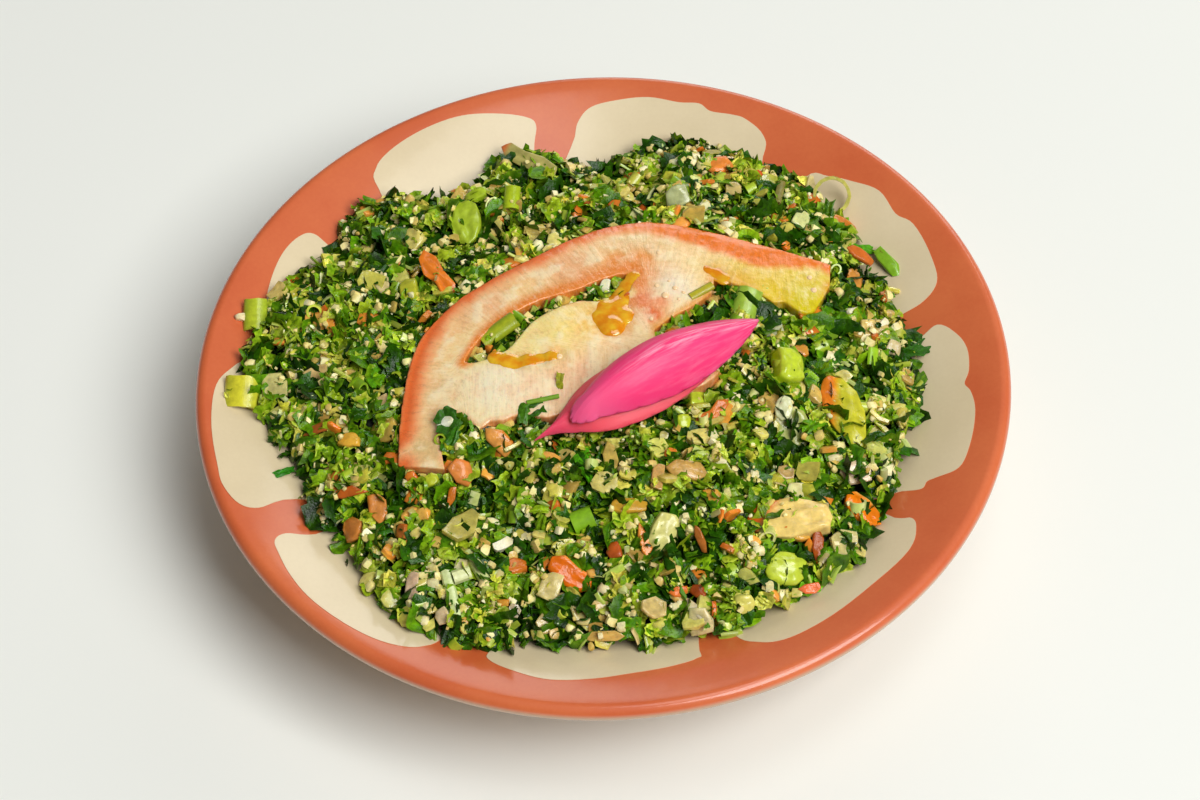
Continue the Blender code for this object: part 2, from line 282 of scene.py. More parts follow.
section += [
    (FOOT_RADIUS + FOOT_NECK, float(inside_height(FOOT_RADIUS)) - WALL - FOOT_CHAMFER),
    (FOOT_RADIUS + FOOT_EASE, FOOT_SHOULDER), (FOOT_RADIUS, FOOT_CHAMFER),
    (FOOT_RADIUS - FOOT_EASE, FOOT_EASE), (FOOT_RADIUS - FOOT_CHAMFER, 0.0),
    (foot_inner + FOOT_CHAMFER, 0.0), (foot_inner + FOOT_EASE, FOOT_EASE), (foot_inner, FOOT_CHAMFER),
    (foot_inner - 0.3, FOOT_RECESS - 0.5), (foot_inner - FOOT_CHAMFER, FOOT_RECESS),
    (14.0, FOOT_RECESS), (0.0, FOOT_RECESS),
]
print("section has", len(section), "points; lip top at", round(max(z for _, z in section), 2), "mm")

# %% Turn the dish
TURNS = 288  # steps of the spin
WELD = 0.004 * MM  # where the spin ends on its own start, points this close are one


def turned(points):
    """A piece turned about Z: one vertex extruded through the (radius, height) points, then spun."""
    start = (points[0][0] * MM, 0, points[0][1] * MM)
    ob = begin(bpy.ops.mesh.primitive_plane_add, size=MM, location=start)
    edit(ob)
    bpy.ops.mesh.merge(type="CENTER")
    for (r0, z0), (r1, z1) in zip(points, points[1:]):
        step = ((r1 - r0) * MM, 0, (z1 - z0) * MM)
        bpy.ops.mesh.extrude_region_move(TRANSFORM_OT_translate={"value": step})
    bpy.ops.mesh.select_all(action="SELECT")
    bpy.ops.mesh.spin(steps=TURNS, angle=math.tau, center=(0, 0, 0), axis=(0, 0, 1))
    bpy.ops.mesh.select_all(action="SELECT")
    bpy.ops.mesh.remove_doubles(threshold=WELD)
    bpy.ops.mesh.normals_make_consistent(inside=False)
    leave_edit()
    bpy.ops.object.transform_apply(location=True, rotation=True, scale=True)
    return ob


dish = turned(section)
bpy.ops.object.shade_smooth_by_angle(angle=math.radians(50))
print("dish:", len(dish.data.polygons), "faces")

# %% [markdown]
# ## Glazed earthenware
#
# Terracotta, the common red clay, fired under a thin clear lead-type glaze. The clay is open and
# matt and keeps its orange red; the glaze over it is smooth glass, so the eye sees colour from
# below and soft highlights on top. That is a rough base with a coat. The clay is clouded over
# about 20 mm and peppered with fine grog, with a few pale specks of lime. Below the lip the glaze
# was wiped off and the bare clay is buff. The glaze has an orange-peel ripple a few mm across and
# faint throwing rings 6 mm apart.

# %% Material of the dish
RING_SCALE = 1 / (0.003 * 6.28)  # a wave of scale 1 repeats every pi / 10 m, so these are 6 mm apart


def glazed_clay(name, dark, light, speck, bare):
    """Clay under clear glaze, clouded between two colours, specked, and bare on the outside."""
    material, shader = new_material(
        name, {"Roughness": 0.55, "IOR": 1.45, "Coat Weight": 0.8, "Coat Roughness": 0.15, "Coat IOR": 1.5}
    )
    place = add_node(material, "ShaderNodeTexCoord")
    at = {"Vector": (place, "Object")}
    cloud = add_node(material, "ShaderNodeTexNoise", {"Scale": 1 / 0.020, "Detail": 4.0}, at)
    grog = add_node(material, "ShaderNodeTexNoise", {"Scale": 1000 / 0.8, "Detail": 2.0}, at)
    both = add_node(
        material, "ShaderNodeMix", {"data_type": "FLOAT", 0: 0.18}, {2: (cloud, "Fac"), 3: (grog, "Fac")}
    )
    body = add_node(material, "ShaderNodeValToRGB", {}, {"Fac": (both, 0)})
    body.color_ramp.elements[0].position, body.color_ramp.elements[1].position = 0.35, 0.66
    body.color_ramp.elements[0].color = (*linear(dark), 1)
    body.color_ramp.elements[1].color = (*linear(light), 1)
    lime = add_node(material, "ShaderNodeTexVoronoi", {"Scale": 1000 / 6.5, "Randomness": 1.0}, at)
    pick = add_node(material, "ShaderNodeSeparateColor", {}, {"Color": (lime, "Color")})
    size = add_node(
        material, "ShaderNodeMapRange",
        {"From Min": 0.0, "From Max": 1.0, "To Min": 0.05, "To Max": 0.0}, {"Value": (pick, "Red")},
    )
    close = add_node(
        material, "ShaderNodeMath", {"operation": "LESS_THAN"}, {0: (lime, "Distance"), 1: (size, 0)}
    )
    rare = add_node(material, "ShaderNodeMath", {"operation": "LESS_THAN", 1: 0.2}, {0: (pick, "Green")})
    spot = add_node(material, "ShaderNodeMath", {"operation": "MULTIPLY"}, {0: (close, 0), 1: (rare, 0)})
    half = add_node(material, "ShaderNodeMath", {"operation": "MULTIPLY", 1: 0.6}, {0: (spot, 0)})
    tint = add_node(
        material, "ShaderNodeMix", {"data_type": "RGBA", 7: (*linear(speck), 1)},
        {0: (half, 0), 6: (body, "Color")},
    )
    facing = add_node(material, "ShaderNodeNewGeometry")
    parts = add_node(material, "ShaderNodeSeparateXYZ", {}, {"Vector": (facing, "Normal")})
    outside = add_node(
        material, "ShaderNodeMapRange", {"From Min": 0.45, "From Max": 0.0}, {"Value": (parts, "Z")}
    )
    worn = add_node(
        material, "ShaderNodeMix", {"data_type": "RGBA", 7: (*linear(bare), 1)},
        {0: (outside, 0), 6: (tint, 2)},
    )
    material.node_tree.links.new(worn.outputs[2], shader.inputs["Base Color"])
    peel = add_node(material, "ShaderNodeTexNoise", {"Scale": 1000 / 3.5, "Detail": 1.0}, at)
    rings = add_node(
        material, "ShaderNodeTexWave",
        {"wave_type": "RINGS", "rings_direction": "Z", "Scale": RING_SCALE, "Distortion": 1.5},
        at,
    )
    relief = add_node(
        material, "ShaderNodeMix", {"data_type": "FLOAT", 0: 0.25}, {2: (peel, "Fac"), 3: (rings, "Fac")}
    )
    bump = add_node(
        material, "ShaderNodeBump", {"Strength": 0.5, "Distance": 0.06 * MM}, {"Height": (relief, 0)}
    )
    for socket in ("Normal", "Coat Normal"):
        material.node_tree.links.new(bump.outputs["Normal"], shader.inputs[socket])
    return material


terracotta = glazed_clay("glazed_terracotta", "#ce5e2e", "#d96e3a", "#e8b493", "#c9a283")
finish_piece(dish, "dish_body", "dish", terracotta, "dish")

# %% [markdown]
# ## Slip dabs
#
# Nine dabs of beige slip, which is clay thinned with water, were laid on the wall with a broad
# brush before glazing. They stand a tenth of a millimetre proud and have crisp edges, so they are
# modelled: a thin skin of the dish's inside is turned, and cut by nine upright blocks with the
# dabs' outlines. Each outline is a few points that the brush went round, made smooth, and its
# sides run on under the salad.

# %% Outlines of the dabs
DABS = [  # (angle in degrees, radius in mm)
    [(13.6, 56), (13.8, 66), (14.2, 71), (16.4, 75), (21, 76.6), (28.4, 77.8), (32, 76.6), (37.2, 77.8),
     (42, 75.9), (46, 74), (49.4, 71.2), (50.2, 56)],
    [(331, 56), (332.5, 67.3), (333.4, 71), (335, 71.4), (336, 73), (338.2, 76.7), (342.5, 77.5),
     (349.4, 77.4), (353.2, 76.3), (355, 75.1), (357.5, 76.1), (361.8, 76.3), (365.4, 74.8),
     (368.4, 71.8), (367, 67.3), (364, 56)],
    [(289.6, 56), (290.2, 69), (292.5, 73.2), (296, 75.5), (302.5, 76), (312, 75.8), (321, 76.3),
     (325.4, 74.4), (327, 72.3), (326.4, 69), (326, 56)],
    [(250.8, 56), (250.2, 70), (250.8, 73.4), (255.6, 75.2), (260.6, 76.1), (267, 75.1), (272.5, 73.9),
     (279, 73.2), (282.8, 72.4), (283.7, 70.4), (283, 56)],
    [(212.6, 56), (212, 69.4), (210.4, 74.8), (211.2, 77.8), (214, 78.9), (218.5, 80.1), (224, 80.7),
     (233, 80), (238, 78.4), (241, 75.7), (242.4, 70.8), (241.6, 56)],
    [(173.6, 56), (174, 70), (174.8, 75.2), (176.8, 77.6), (180.4, 80.2), (187, 81.3), (195, 81.7),
     (199, 82), (203, 80.4), (204.4, 77), (203.5, 71.5), (202, 56)],
    [(146.2, 56), (145.7, 70), (145.7, 74.6), (147.8, 76.4), (152, 76.9), (157.8, 75.9), (162.6, 74.3),
     (164.8, 71), (165.4, 56)],
    [(102.6, 56), (101.2, 68), (99.9, 73.4), (101.6, 75.8), (107.5, 78.4), (112.5, 79.7), (118.8, 79.7),
     (125, 78.7), (128.8, 76.9), (130.8, 73), (131.6, 56)],
    [(57.6, 56), (58.3, 71.5), (60, 75.8), (64, 78), (66.4, 78.1), (70, 77.7), (72.2, 78.9), (75.6, 78.4),
     (80.6, 78.8), (85.6, 77.8), (90, 76.3), (92.2, 73.6), (93.3, 69.8), (95.4, 56)],
]


def smooth_loop(points, steps):
    """A closed Catmull-Rom run through the points of an outline."""
    count, run = len(points), []
    points = np.array(points, float)
    for k in range(count):
        a, b, c, d = (points[(k + j) % count] for j in (-1, 0, 1, 2))
        square, cube = 2 * a - 5 * b + 4 * c - d, 3 * b - a - 3 * c + d
        for t in np.arange(steps) / steps:
            run.append(0.5 * (2 * b + (c - a) * t + square * t**2 + cube * t**3))
    return np.array(run)


print("dabs span degrees:", [round(max(a for a, _ in dab) - min(a for a, _ in dab)) for dab in DABS])

# %% Cut the dabs from a thin skin of slip
SLIP_PROUD, SLIP_SUNK, SLIP_STEPS = 0.10, 0.25, 5  # mm, and steps between two outline points
SLIP_FROM, SLIP_TO = 58, 82.4  # mm from the axis
BLOCK_FOOT, BLOCK_HEIGHT = 12 * MM, 24 * MM  # the cutting blocks reach through all of the wall
slip_radii = np.linspace(SLIP_FROM, SLIP_TO, 15)
skin_top = [(r, float(inside_height(r)) + SLIP_PROUD) for r in slip_radii]
skin_under = [(r, float(inside_height(r)) - SLIP_SUNK) for r in slip_radii[::-1]]
slip = turned(skin_top + skin_under + skin_top[:1])

blocks = []
for dab in DABS:
    loop = smooth_loop(dab, SLIP_STEPS)
    rim = [(r * math.cos(math.radians(a)) * MM, r * math.sin(math.radians(a)) * MM) for a, r in loop]
    mesh = bpy.data.meshes.new("dab_block")
    mesh.from_pydata([(x, y, BLOCK_FOOT) for x, y in rim], [], [list(range(len(rim)))])
    block = bpy.data.objects.new("dab_block", mesh)
    bpy.context.scene.collection.objects.link(block)
    edit(block)
    bpy.ops.mesh.extrude_region_move(TRANSFORM_OT_translate={"value": (0, 0, BLOCK_HEIGHT)})
    bpy.ops.mesh.select_all(action="SELECT")
    bpy.ops.mesh.normals_make_consistent(inside=False)
    leave_edit()
    blocks.append(block)
select_only(blocks[0])
for block in blocks:
    block.select_set(True)
bpy.ops.object.join()
cutter = bpy.context.object
apply_modifier(slip, "BOOLEAN", operation="INTERSECT", object=cutter, solver="EXACT")
bpy.data.objects.remove(cutter)
select_only(slip)
bpy.ops.object.shade_smooth_by_angle(angle=math.radians(30))
beige_slip = glazed_clay("glazed_beige_slip", "#dcc9a2", "#e6d4ae", "#efe3cc", "#dcc9a2")
finish_piece(slip, "slip_dabs", "dish", beige_slip)

# %% [markdown]
# ## The lie of the heap
#
# Before any leaf is laid, the heap is measured on a fine grid, as a height above the table in mm:
# where the imported salad solid's top is, which is the shape to fill, and where the smaller core's
# top is, which is what the loose bits fall on. The core is the imported solid drawn in by two and
# a half millimetres, remeshed, and roughened by relief finer than rice. It is painted nearly black
# green, as painted shade, since it is only seen down in the gaps.

# %% Core of the heap
CORE_INSET, CORE_VOXEL, CORE_RELIEF, CORE_GRAIN = 2.6 * MM, 0.95 * MM, 1.1 * MM, 2.6 * MM
core = merged_copy("salad_heap", "core")
edit(core)
bpy.ops.transform.shrink_fatten(value=-CORE_INSET)
leave_edit()
core.data.remesh_voxel_size = CORE_VOXEL
bpy.ops.object.voxel_remesh()
crumb = bpy.data.textures.new("crumb", "CLOUDS")
crumb.noise_scale, crumb.noise_depth = CORE_GRAIN, 2
apply_modifier(
    core, "DISPLACE", texture=crumb, strength=CORE_RELIEF, mid_level=0.6, texture_coords="GLOBAL"
)
bpy.ops.object.shade_smooth()
core_height = max(v.co.z for v in core.data.vertices) / MM
print("core:", len(core.data.polygons), "faces, to", round(core_height, 1), "mm")

# %% Height grids
CELL, HALF = 0.5, 88.0  # mm
axis = np.arange(-HALF, HALF, CELL) + CELL / 2
grid_x, grid_y = np.meshgrid(axis, axis, indexing="ij")
SKY, DOWN = 80.0, Vector((0, 0, -1))  # mm above the table, where the rays start


def heights(ob):
    """Height in mm of the top of a piece over each cell, or nan where it has none."""
    mesh = ob.data
    tree = BVHTree.FromPolygons(
        [v.co.copy() for v in mesh.vertices], [tuple(face.vertices) for face in mesh.polygons]
    )
    low, high = np.array(ob.bound_box[0]) / MM, np.array(ob.bound_box[6]) / MM
    found = np.full(grid_x.shape, np.nan)
    wanted = (grid_x > low[0]) & (grid_x < high[0]) & (grid_y > low[1]) & (grid_y < high[1])
    for i, j in np.argwhere(wanted):
        hit = tree.ray_cast(Vector((axis[i] * MM, axis[j] * MM, SKY * MM)), DOWN)[0]
        if hit is not None:
            found[i, j] = hit.z / MM
    return found


def cell_at(x, y):
    """The row and column of the cell that a place in mm is in."""
    return int((x + HALF) / CELL), int((y + HALF) / CELL)


dish_top = inside_height(np.hypot(grid_x, grid_y))
heap_top = heights(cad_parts["salad_heap"])
slice_top = heights(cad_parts["tomato_slice"])
inner_top = heights(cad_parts["onion_petal_inner"])
outer_top = heights(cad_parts["onion_petal_outer"])
core_top = heights(core)
print("heap covers", round(np.isfinite(heap_top).sum() * CELL**2 / 100, 1), "cm2")

# %% [markdown]
# The surface starts as the dish with the core in it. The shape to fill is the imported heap, made
# lumpier, with a ragged edge. Leaves crowd against the sides of the slice, and fill the notch at
# its left end. Under the slice nothing is laid, since nothing there is ever seen.

# %% The surface and the shape to fill
def near(mask, distance):
    """Cells within a distance in mm of a mask."""
    reach = int(round(distance / CELL))
    grown = mask.copy()
    for _ in range(reach):
        wide = grown.copy()
        wide[1:] |= grown[:-1]
        wide[:-1] |= grown[1:]
        wide[:, 1:] |= grown[:, :-1]
        wide[:, :-1] |= grown[:, 1:]
        grown = wide
    return grown


def blurred(values, passes):
    """A softened copy of a grid."""
    for _ in range(passes):
        padded = np.pad(values, 1, mode="edge")
        sides = padded[:-2, 1:-1] + padded[2:, 1:-1] + padded[1:-1, :-2] + padded[1:-1, 2:]
        values = (sides + 2 * padded[1:-1, 1:-1]) / 6
    return values


def steps_from(mask, steps):
    """How far in mm each cell is from a mask, up to this many cells."""
    return sum((~near(mask, step * CELL)).astype(float) for step in range(steps)) * CELL


CROWDING, NOTCH = 1.5, ((-29, -22), 5.0, 1.4)  # mm above the pressed salad; place, radius, more mm
CLUMPS = ((1.3, 6.5, 2.0), (0.8, 3.0, 7.0))  # height in mm, size in mm, and a layer of the noise
surface = np.where(np.isfinite(core_top), np.fmax(core_top, dish_top), dish_top)
shape_to_fill = np.where(np.isfinite(heap_top), heap_top, 0.0)
under_slice = np.isfinite(slice_top)
under_petals = near(np.isfinite(inner_top) | np.isfinite(outer_top), 1.0)
from_cover, from_edge = steps_from(under_slice, 16), steps_from(~np.isfinite(heap_top), 9)
shape_to_fill += np.where((from_cover < 5) & (shape_to_fill > 0) & ~under_petals, CROWDING, 0)
(x, y), radius, more = NOTCH
shape_to_fill += np.where(np.hypot(grid_x - x, grid_y - y) < radius, more, 0)
in_clumps = np.array([
    sum(high * noise.noise(Vector((x / size, y / size, layer))) for high, size, layer in CLUMPS)
    for x, y in zip(grid_x.ravel(), grid_y.ravel())
]).reshape(grid_x.shape)
shape_to_fill += np.where(shape_to_fill > 0, in_clumps * np.clip(from_cover / 5, 0, 1), 0)
ragged = from_edge > 1.4 + 1.7 * in_clumps
free = (from_cover > 0.6) & ragged & np.isfinite(heap_top)
largest = np.where(under_petals, 2.6, 0.5 + 1.9 * from_cover)  # mm, so that nothing lies over them


def lacking():
    """What the heap still lacks, in cubic centimetres."""
    return (np.clip(shape_to_fill - surface, 0, None) * free).sum() * CELL**2 / 1000


print("volume to fill:", round(lacking(), 1), "cm3")

# %% [markdown]
# ## How bits settle
#
# A bit falls where the heap still lacks most, comes to rest on what lies under it, leans with the
# slope and then as it pleases, and raises the surface for the next one. Thousands of leaves laid
# this way lie on each other as real ones do, and leave real gaps. The places are drawn in code,
# since no one would set thousands of leaves by hand.

# %% Settling
WIDEST = 12  # cells, the radius of the largest disc
BATCH = 120  # bits that fall before the surface is measured again
STANDS_OUT = 0.7  # mm that bits may lie above the shape to fill
REST_SHARE = 0.42  # a bit rests on a disc with this share of its size as its radius
LEAST_LACK = 0.08  # mm, so that a few bits also fall where nothing is lacking


def disc_of(r):
    """A round mask of this radius in cells."""
    offsets = np.arange(-r, r + 1)
    return np.hypot(*np.meshgrid(offsets, offsets, indexing="ij")) <= r + 0.3


DISCS = {r: disc_of(r) for r in range(1, WIDEST + 1)}


def rest_on(x, y, radius, lift):
    """Where a bit of this radius comes to rest at (x, y), in mm; the surface rises under it."""
    i, j = cell_at(x, y)
    r = int(min(max(round(radius / CELL), 1), WIDEST))
    patch = surface[i - r : i + r + 1, j - r : j + r + 1]
    disc = DISCS[r]
    ceiling = shape_to_fill[i, j] + STANDS_OUT - lift
    level = min(0.5 * patch[disc].mean() + 0.5 * patch[disc].max(), ceiling)
    patch[disc] = np.maximum(patch[disc], level + lift * 0.7)
    return level + lift / 2


def settle(sizes, lift, lean, eager=1.5, allowed=None):
    """Drops bits of these sizes in mm, which it lessens where it must. Returns places and facings."""
    places, facings = [], []
    allowed = free if allowed is None else allowed
    for start in range(0, len(sizes), BATCH):
        lack = (np.clip(shape_to_fill - surface, LEAST_LACK, None) * allowed) ** eager
        batch = sizes[start : start + BATCH]
        cells = rng.choice(lack.size, size=len(batch), p=(lack / lack.sum()).ravel())
        slope_x, slope_y = np.gradient(blurred(surface, 4), CELL)
        for k, cell in enumerate(cells):
            i, j = divmod(int(cell), surface.shape[1])
            x, y = axis[i] + rng.uniform(-CELL, CELL) / 2, axis[j] + rng.uniform(-CELL, CELL) / 2
            batch[k] = min(batch[k], largest[i, j])
            z = rest_on(x, y, batch[k] * REST_SHARE, lift)
            facing = np.array([-slope_x[i, j], -slope_y[i, j], 1.0]) * 0.8 + rng.normal(0, lean, 3)
            facing[2] = abs(facing[2])
            places.append((x, y, z))
            facings.append(facing / np.linalg.norm(facing))
    return np.array(places), np.array(facings)


def turns(facings, spins):
    """Rotation matrices that face z along each facing and then spin about it."""
    side = np.cross(np.array([0.0, 1.0, 0.0]), facings)
    side /= np.linalg.norm(side, axis=1, keepdims=True)
    other = np.cross(facings, side)
    c, s = np.cos(spins)[:, None], np.sin(spins)[:, None]
    return np.stack([side * c + other * s, other * c - side * s, facings], axis=2)


print("discs of", len(DISCS), "sizes; the largest covers", int(DISCS[WIDEST].sum()), "cells")

# %% [markdown]
# ## One mesh from many copies
#
# Each kind of bit is modelled once or in a few versions, at a size of one, and copied: every copy
# gets its own points, its own turn and two colours of its own, which a weight on the version
# blends from point to point, such as skin and flesh. Arrays make one mesh of them all.

# %% Copies
def version_of(ob, weight=None):
    """Reads a modelled bit's mesh into arrays and removes it."""
    mesh = ob.data
    points = np.array([v.co for v in mesh.vertices])
    loops = np.array([v for face in mesh.polygons for v in face.vertices])
    sizes = np.array([len(face.vertices) for face in mesh.polygons])
    blend = np.zeros(len(points)) if weight is None else weight(points)
    bpy.data.objects.remove(ob)
    return {"points": points, "loops": loops, "sizes": sizes, "blend": blend}


def joined(name, versions, picks, matrices, places, main, second, crease):
    """One mesh of copies: picks choose versions, places are in mm, colours are linear."""
    points, loops, sizes, colours = [], [], [], []
    total = 0
    for index, version in enumerate(versions):
        rows = np.flatnonzero(picks == index)
        if not len(rows):
            continue
        count = len(version["points"])
        moved = np.einsum("nij,vj->nvi", matrices[rows], version["points"]) + places[rows][:, None, :]
        share = version["blend"][None, :, None]
        blend = main[rows][:, None, :] * (1 - share) + second[rows][:, None, :] * share
        colours.append(blend.reshape(-1, 3))
        points.append(moved.reshape(-1, 3) * MM)
        starts = total + np.arange(len(rows)) * count
        loops.append((version["loops"][None, :] + starts[:, None]).ravel())
        sizes.append(np.tile(version["sizes"], len(rows)))
        total += count * len(rows)
    points, loops, sizes = np.concatenate(points), np.concatenate(loops), np.concatenate(sizes)
    mesh = bpy.data.meshes.new(name)
    mesh.vertices.add(len(points))
    mesh.vertices.foreach_set("co", points.ravel())
    mesh.loops.add(len(loops))
    mesh.loops.foreach_set("vertex_index", loops)
    mesh.polygons.add(len(sizes))
    mesh.polygons.foreach_set("loop_start", np.concatenate([[0], np.cumsum(sizes)[:-1]]))
    mesh.polygons.foreach_set("use_smooth", np.ones(len(sizes), bool))
    mesh.update(calc_edges=True)
    paint = mesh.attributes.new("bit_colour", "FLOAT_COLOR", "POINT")
    colours = np.column_stack([np.concatenate(colours), np.ones(len(points))])
    paint.data.foreach_set("color", colours.ravel())
    ob = bpy.data.objects.new(name, mesh)
    bpy.context.scene.collection.objects.link(ob)
    select_only(ob)
    bpy.ops.object.shade_smooth_by_angle(angle=math.radians(crease))
    return ob


def shades(count, colours, chances, spread):
    """A colour for each bit, picked from hex colours by chance and made lighter or darker."""
    picked = np.array([linear(c) for c in colours])[rng.choice(len(colours), count, p=chances)]
    lighter = np.exp(rng.normal(0, spread, (count, 1)))
    return picked * lighter * np.exp(rng.normal(0, spread / 3, (count, 3)))


# %% [markdown]
# ## Wet food
#
# Everything in the salad is cut plant tissue, wet with lemon juice and oil. The flesh scatters
# light a little under its surface, and the film of oil is a smooth coat that catches the softbox.
# Each kind gets its own roughness and grain, the pale kinds scatter light, and the bits' own
# colours are clouded so that no bit is one flat colour.

# %% Materials of the bits
FILM_GRAIN = 0.45  # mm; the ripples of the oil are finer, and drawn as coarse as they need to show


def wet_food(name, values, grain, clouding, bump_depth):
    """Wet plant tissue: its bits' own colours, clouded at a grain in mm, under a film of oil."""
    material, shader = new_material(name, {"IOR": 1.4, "Coat IOR": 1.47, **values})
    place = add_node(material, "ShaderNodeTexCoord")
    at = {"Vector": (place, "Object")}
    own = add_node(material, "ShaderNodeAttribute", {"attribute_name": "bit_colour"})
    cells = add_node(
        material, "ShaderNodeTexNoise", {"Scale": 1000 / grain, "Detail": 3.0, "Roughness": 0.6}, at
    )
    clouds = add_node(
        material, "ShaderNodeMapRange",
        {"From Min": 0.3, "From Max": 0.7, "To Min": 1 - clouding, "To Max": 1 + clouding},
        {"Value": (cells, "Fac")},
    )
    tinted = add_node(
        material, "ShaderNodeVectorMath", {"operation": "SCALE"}, {0: (own, "Color"), "Scale": (clouds, 0)}
    )
    material.node_tree.links.new(tinted.outputs["Vector"], shader.inputs["Base Color"])
    bump = add_node(
        material, "ShaderNodeBump", {"Strength": 0.9, "Distance": bump_depth * MM},
        {"Height": (cells, "Fac")},
    )
    # The film of oil has finer ripples than the tissue, which break its highlights into sparks.
    film = add_node(material, "ShaderNodeTexNoise", {"Scale": 1000 / FILM_GRAIN, "Detail": 2.0}, at)
    sparks = add_node(
        material, "ShaderNodeBump", {"Strength": 1.0, "Distance": bump_depth * MM},
        {"Height": (film, "Fac"), "Normal": (bump, "Normal")},
    )
    material.node_tree.links.new(bump.outputs["Normal"], shader.inputs["Normal"])
    material.node_tree.links.new(sparks.outputs["Normal"], shader.inputs["Coat Normal"])
    return material


# Each has its roughness and gloss, its grain in mm, how strongly it is clouded, and its relief in mm.
wet_parsley = wet_food(
    "wet_parsley_leaf",
    {"Roughness": 0.6, "Coat Weight": 0.45, "Coat Roughness": 0.05, "Specular IOR Level": 0.05},
    0.9, 0.45, 0.12,
)
dark_bed = wet_food(
    "shaded_parsley_bed", {"Roughness": 0.6, "Coat Weight": 0.3, "Coat Roughness": 0.3}, 1.2, 0.5, 0.2
)
soaked_bulgur = wet_food(
    "soaked_bulgur",
    {"Roughness": 0.45, "Coat Weight": 0.35, "Coat Roughness": 0.25, "Subsurface Weight": 0.25,
     "Subsurface Radius": (1.0, 0.8, 0.5), "Subsurface Scale": 0.6 * MM},
    0.6, 0.14, 0.06,
)
spring_onion_skin = wet_food(
    "spring_onion_leaf", {"Roughness": 0.3, "Coat Weight": 0.6, "Coat Roughness": 0.12}, 1.2, 0.16, 0.04
)
onion_flesh = wet_food(
    "raw_onion",
    {"Roughness": 0.3, "Coat Weight": 0.85, "Coat Roughness": 0.07, "Subsurface Weight": 0.45,
     "Subsurface Radius": (1.0, 0.8, 0.4), "Subsurface Scale": 1.2 * MM},
    1.4, 0.24, 0.09,
)
tomato_dice_flesh = wet_food(
    "diced_tomato",
    {"Roughness": 0.35, "Specular IOR Level": 0.1, "Coat Weight": 0.7, "Coat Roughness": 0.06,
     "Subsurface Weight": 0.15, "Subsurface Radius": (1.0, 0.7, 0.3), "Subsurface Scale": 0.7 * MM},
    1.6, 0.2, 0.08,
)
print("materials:", sorted(material.name for material in bpy.data.materials))

# %% Finish the core
# Painted shade: the core is nearly black green, as parsley looks deep in the shaded gaps.
bed_paint = core.data.attributes.new("bit_colour", "FLOAT_COLOR", "POINT")
bed_paint.data.foreach_set("color", np.tile([*linear("#122203"), 1.0], len(core.data.vertices)))
finish_piece(core, "salad_core", "salad", dark_bed, "salad_heap")

# %% [markdown]
# ## Parsley
#
# Flat-leaf parsley, chopped across with a big knife: scraps of 1 to 7 mm, some square where the
# knife went both ways, some still with the toothed edge or the tip of the leaf, some mere shreds.
# The leaf is pleated along its veins and crumples as it wilts. A scrap is a small grid, cut to
# shape and pleated, with a thin second side that meets the first at its rim, so it is a closed
# body of only forty faces, which thousands of copies need.

# %% Versions of a scrap of leaf
ACROSS, ALONG = 4, 5  # faces each way
LEAF_THICK = 0.06  # a share of its length
SQUARE, ROUND, TIP, STRIP, SHRED = range(5)


def leaf_scrap(seed):
    """One scrap of leaf, about one unit long, with a rim that both sides share."""
    draw = np.random.default_rng(seed)
    kind = (SQUARE, ROUND, TIP, STRIP, ROUND, SQUARE, SHRED, TIP)[seed % 8]
    ob = begin(bpy.ops.mesh.primitive_grid_add, x_subdivisions=ALONG, y_subdivisions=ACROSS, size=1.0)
    flat = np.array([v.co for v in ob.data.vertices])
    faces = np.array([list(face.vertices) for face in ob.data.polygons])
    bpy.data.objects.remove(ob)
    u, v = flat[:, 0], flat[:, 1]
    column, row = np.rint((u + 0.5) * ALONG), np.rint((v + 0.5) * ACROSS)
    side = np.abs(v) > 0.49
    rim = (np.abs(u) > 0.49) | side
    width = {
        SQUARE: 0.8 + 0.25 * u, ROUND: 1.05 * np.sqrt(1.12 - 3.4 * u**2), TIP: 0.9 * np.sqrt(0.56 - u),
        STRIP: 0.5 - 0.2 * u, SHRED: np.full(len(u), 0.26),
    }[kind] * draw.uniform(0.8, 1.15)
    teeth = np.where(side, 1 + draw.uniform(0.05, 0.2) * (2 * (column % 2) - 1), 1)
    bowed = 0.25 * (kind == ROUND) * np.sign(u) * (0.25 - v**2)
    x = u + bowed + draw.normal(0, 0.03, len(u)) + 0.05 * side * (column % 2)
    y = v * width * teeth + draw.normal(0, 0.022, len(u)) + draw.uniform(-0.3, 0.3) * u**2
    # The height is made of pleats, a fold along the middle, a bow, a twist and some crumpling.
    z = draw.uniform(0.02, 0.07) * (2 * (row % 2) - 1) * (1 - 0.5 * rim)
    z += draw.uniform(-0.4, 0.6) * np.abs(y) + draw.uniform(-0.8, 0.8) * (x**2 - 0.1)
    z += draw.uniform(-0.7, 0.7) * x * y + draw.normal(0, 0.028, len(u))
    inner = np.flatnonzero(~rim)
    top = np.column_stack([x, y, z])
    under = top[inner] - np.array([0, 0, LEAF_THICK])
    lower = np.arange(len(top))
    lower[inner] = len(top) + np.arange(len(inner))
    # Veins and the underside are paler in their own colour; the rim is paler as painted light, as if lit
    # from behind.
    veined = 0.35 * rim + 0.5 * (row == 2) + 0.15 * (row % 2 == 0)
    return {
        "points": np.vstack([top, under]),
        "loops": np.concatenate([faces.ravel(), lower[faces][:, ::-1].ravel()]),
        "sizes": np.full(2 * len(faces), 4),
        "blend": np.concatenate([veined, np.full(len(inner), 0.7)]),
    }


scraps = [leaf_scrap(seed) for seed in range(32)]
print("a scrap of leaf has", len(scraps[0]["sizes"]), "faces")
